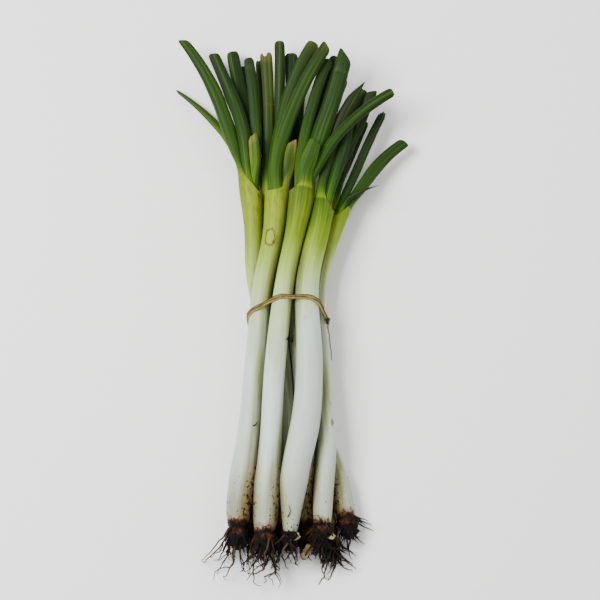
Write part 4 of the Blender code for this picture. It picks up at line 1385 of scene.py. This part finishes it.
crumb_size = maths(crumb_tree, "ADD", given["Smallest"], grown_by)
uneven = add(crumb_tree, "FunctionNodeRandomValue", {
    0: (0.6, 0.5, 0.4), 1: (1.3, 1.1, 0.9), "Seed": 5}, data_type="FLOAT_VECTOR").outputs[0]
tumbled = add(crumb_tree, "FunctionNodeEulerToRotation", {0: add(
    crumb_tree, "FunctionNodeRandomValue", {0: (0.0, 0.0, 0.0), 1: FULL_TURNS, "Seed": 6},
    data_type="FLOAT_VECTOR").outputs[0]})
crumbs = add(crumb_tree, "GeometryNodeInstanceOnPoints", {
    "Points": sown.outputs["Points"], "Instance": lump.outputs[0], "Rotation": tumbled,
    "Scale": stretched(crumb_tree, uneven, crumb_size)})
finished = add(crumb_tree, "GeometryNodeSetMaterial", {
    "Geometry": add(crumb_tree, "GeometryNodeRealizeInstances", {"Geometry": crumbs}),
    "Material": given["Finish"]})
add(crumb_tree, "NodeGroupOutput", {0: finished})
print("crumb tree nodes:", len(crumb_tree.nodes))

# %% [markdown]
# Crumbs need ground to fall on: the dirty faces of the sheaths, copied into one mesh that
# remembers how gritty each point is. Faces close to the table are left out.

# %% Gritty ground
CRUMBS = 90000.0
LOWEST_CRUMB = 3.0 * MM
GRITTY_FROM = 0.02


def values_of(mesh, key):
    """What each point of a mesh remembers."""
    found = np.empty(len(mesh.vertices), dtype=np.float32)
    mesh.attributes[key].data.foreach_get("value", found)
    return found


def gritty_ground():
    """The dirty parts of all the sheaths, whose points know how gritty they are."""
    points, faces, grit = [], [], []
    for piece in sheaths.values():
        mesh = piece.data
        soil, splash, near = (values_of(mesh, key) for key in ("soil", "splash", "crowding"))
        dirty = np.clip(soil, 0.0, 1.0) + 0.35 * splash * near + 0.02 * splash
        for face in mesh.polygons:
            corners = list(face.vertices)
            if dirty[corners].min() > GRITTY_FROM and face.center.z > LOWEST_CRUMB:
                faces.append([len(points) + step for step in range(len(corners))])
                points += [mesh.vertices[corner].co[:] for corner in corners]
                grit += dirty[corners].tolist()
    mesh = bpy.data.meshes.new("gritty_ground")
    mesh.from_pydata(points, [], faces)
    mesh.attributes.new("grit", "FLOAT", "POINT").data.foreach_set("value", grit)
    made = bpy.data.objects.new("gritty_ground", mesh)
    bpy.context.scene.collection.objects.link(made)
    return made


# %% [markdown]
# Field soil dries to rough, crumbly lumps with hardly any gloss. They are nearly black, with
# browner grains, and their rough surface comes from bump.

# %% Scatter the crumbs
soil_material, tree = new_material("dry_soil_crumbs")
here = add(tree, "ShaderNodeTexCoord").outputs["Object"]
mixed = add(tree, "ShaderNodeTexNoise", {"Vector": here, "Scale": 1.0 / (1.1 * MM),
                                         "Detail": 3.0}).outputs[0]
soil_colour = add(tree, "ShaderNodeValToRGB", {"Fac": mixed}, stops=(
    (0.35, "#0D0906"), (0.55, "#20140C"), (0.7, "#3D2813"))).outputs[0]
soil_bump = add(tree, "ShaderNodeBump", {"Height": mixed, "Distance": 0.2 * MM, "Strength": 0.7})
finish_with(tree, add(tree, "ShaderNodeBsdfPrincipled", {
    "Base Color": soil_colour, "Roughness": 0.95, "Specular IOR Level": 0.1,
    "Normal": soil_bump}))
soil_crumbs = grown_mesh(gritty_ground(), crumb_tree, {
    "Crumbs for each square metre": CRUMBS, "Smallest": 0.18 * MM, "Largest": 0.9 * MM,
    "Seed": 3, "Finish": soil_material}, "soil_crumbs")
print("crumbs:", len(soil_crumbs.data.polygons) // LUMP_FACES)

# %% [markdown]
# Torn skin is one thin sheet. It is built as a very flat tube, bowed across and rolled up along
# its length, with a ragged edge, so that it is closed and can be printed like everything else.

# %% Torn flakes of skin
FLAKE_ROWS = 22
FLAKE_COLUMNS = 28
FLAKE_THICKNESS = 0.3 * MM
SKIN_KEYS = ("ripe", "olive", "wilt", "dry", "yellow", "soil", "splash", "crowding", "inside")


def torn_flake(name, middle, size, turn, lean, roll, seed, **memory):
    """A bowed, ragged sheet. Its middle and size are in mm, its angles in degrees."""
    reach = np.linspace(-0.5, 0.5, FLAKE_ROWS)[:, None] * np.ones(FLAKE_COLUMNS)
    around = np.tile(np.linspace(0.0, 2 * math.pi, FLAKE_COLUMNS, endpoint=False), (FLAKE_ROWS, 1))
    side = np.sign(np.cos(around)) * np.abs(np.cos(around)) ** 0.7
    ends = np.sqrt(np.clip(1.0 - (2.0 * np.abs(reach)) ** 4, 0.02, 1.0))
    ragged = 1.0 + 0.35 * wander(reach * 9 + np.sign(side) * 3, 1.0, seed)
    across = 0.5 * size[1] * side * ends * ragged
    bend = math.radians(roll) * reach
    radius = size[0] / math.radians(roll)
    lift = 0.09 * across ** 2 + 0.5 * FLAKE_THICKNESS / MM * np.sin(around)
    points = np.stack((across, (radius - lift) * np.sin(bend),
                       lift + (radius - lift) * (1.0 - np.cos(bend))), axis=-1)
    points = points @ np.array(Matrix.Rotation(math.radians(lean), 3, "X")).T
    points = points @ np.array(Matrix.Rotation(math.radians(turn), 3, "Z")).T
    points = (points + middle) * MM
    remembered_values = {key: np.full(reach.shape, float(memory.get(key, 0.0))) for key in SKIN_KEYS}
    edge = soft_step(0.75, 1.0, np.maximum(np.abs(side), 2.0 * np.abs(reach)))
    remembered_values["soil"] += 0.5 * edge
    remembered_values["grain"] = np.stack(
        (points[..., 0], points[..., 2], points[..., 1] + seed), axis=-1)
    made = closed_skin(name, points, remembered_values)
    made.data.materials.append(skin_material)
    return made


flakes = [
    torn_flake("torn_skin_1", (3.0, -178.0, 26.0), (9.0, 6.0), 25, -30, 110, 1, dry=0.9, wilt=0.25,
               splash=1.0, soil=0.25),
    torn_flake("torn_skin_2", (27.5, -178.0, 27.0), (7.0, 5.5), -20, -35, 80, 2, ripe=0.15,
               dry=0.8, splash=1.0, soil=0.2),
    torn_flake("torn_skin_3", (10.5, -187.0, 20.0), (13.0, 6.0), -30, 15, 50, 3, dry=0.5, wilt=1.0,
               splash=1.0, soil=0.5),
    torn_flake("torn_skin_4", (23.0, -184.0, 21.0), (8.0, 4.0), 40, 0, 120, 4, dry=0.5, wilt=0.9,
               splash=1.0, soil=0.5),
]

# %% [markdown]
# The loose bits of root are single strands of the tree that also laid the rush. Each lies on
# whatever skin is highest at its place.

# %% Loose bits of root
BIT_REACH = 2.2
BIT_CLEARANCE = 0.3 * MM
BIT_STEP = 0.8 * MM
skin_points = np.vstack([np.array([corner.co[:] for corner in piece.data.vertices])
                         for piece in sheaths.values()])


def lying_at(x, y):
    """A place, given in mm, on top of the skin that lies there, in metres."""
    near = np.hypot(skin_points[:, 0] / MM - x, skin_points[:, 1] / MM - y) < BIT_REACH
    return x * MM, y * MM, skin_points[near, 2].max() + BIT_CLEARANCE


def loose_root(name, places, width, seed):
    """A short bit of root through places given in mm."""
    path = through(np.array([lying_at(*place) for place in places]), BIT_STEP)
    across = unit(np.cross(np.gradient(path, axis=0), (0.0, 0.0, 1.0)))
    line = path_object(f"{name}_line", path, np.tile((0.0, 0.0, 1.0), (len(path), 1)), across, False)
    return grown_mesh(line, rush_tree, {
        "Strands": 1, "Width": width * MM, "Thickness": 0.8 * width * MM, "Kink": 0.25 * MM,
        "Fray": 0.55, "Seed": seed, "Finish": root_material}, name)


bits = [
    loose_root("loose_root_1", ((-3.4, -38.5), (-1.8, -36.4), (0.4, -36.6), (1.0, -34.0)), 1.5, 0.1),
    loose_root("loose_root_2", ((29.6, -172.0), (31.0, -168.0), (32.4, -163.0)), 0.9, 0.4),
    loose_root("loose_root_3", ((12.5, -168.0), (14.5, -164.0), (18.0, -163.0), (20.5, -167.0)),
               0.8, 0.7),
    loose_root("loose_root_4", ((-27.5, -98.5), (-25.5, -97.5), (-24.0, -96.0)), 1.0, 0.9),
    loose_root("loose_root_5", ((-3.0, -165.0), (-1.0, -161.0), (-2.4, -157.0)), 0.9, 1.2),
]
print("flakes:", len(flakes), "loose roots:", len(bits))

# %% [markdown]
# ## Hide the solids that the pieces stand for
#
# Every finished piece rides on the one body of the bunch, and the plain solids that the pieces
# stand for are hidden.

# %% Bodies and hidden solids
for plant, piece in sheaths.items():
    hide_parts(f"{plant}_shank", f"{plant}_leaf_{PLANT_LOOKS[plant].blade}")
for node, piece in inner_leaves.items():
    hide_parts(node)
for plant, piece in roots.items():
    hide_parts(f"{plant}_roots")
for node, piece in (("tie_band", tie_band), ("tie_knot", tie_knot), ("tie_tail", tie_tail)):
    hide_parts(node)
pieces = [*sheaths.values(), *inner_leaves.values(), *roots.values(), tie_band, tie_knot,
          tie_tail, soil_crumbs, *flakes, *bits]
for piece in pieces:
    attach(piece, "root")

# %% [markdown]
# ## Measure the result
#
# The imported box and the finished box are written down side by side, which shows how far the
# roots and skins stand proud of the solids that they replace.

# %% Size and finish
low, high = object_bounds()
print("visual box in mm:", [round(side / MM) for side in high - low])
print("grown past the packed box in mm:", [round(float(v), 1) for v in (cad_low - low) / MM],
      [round(float(v), 1) for v in (high - cad_high) / MM])
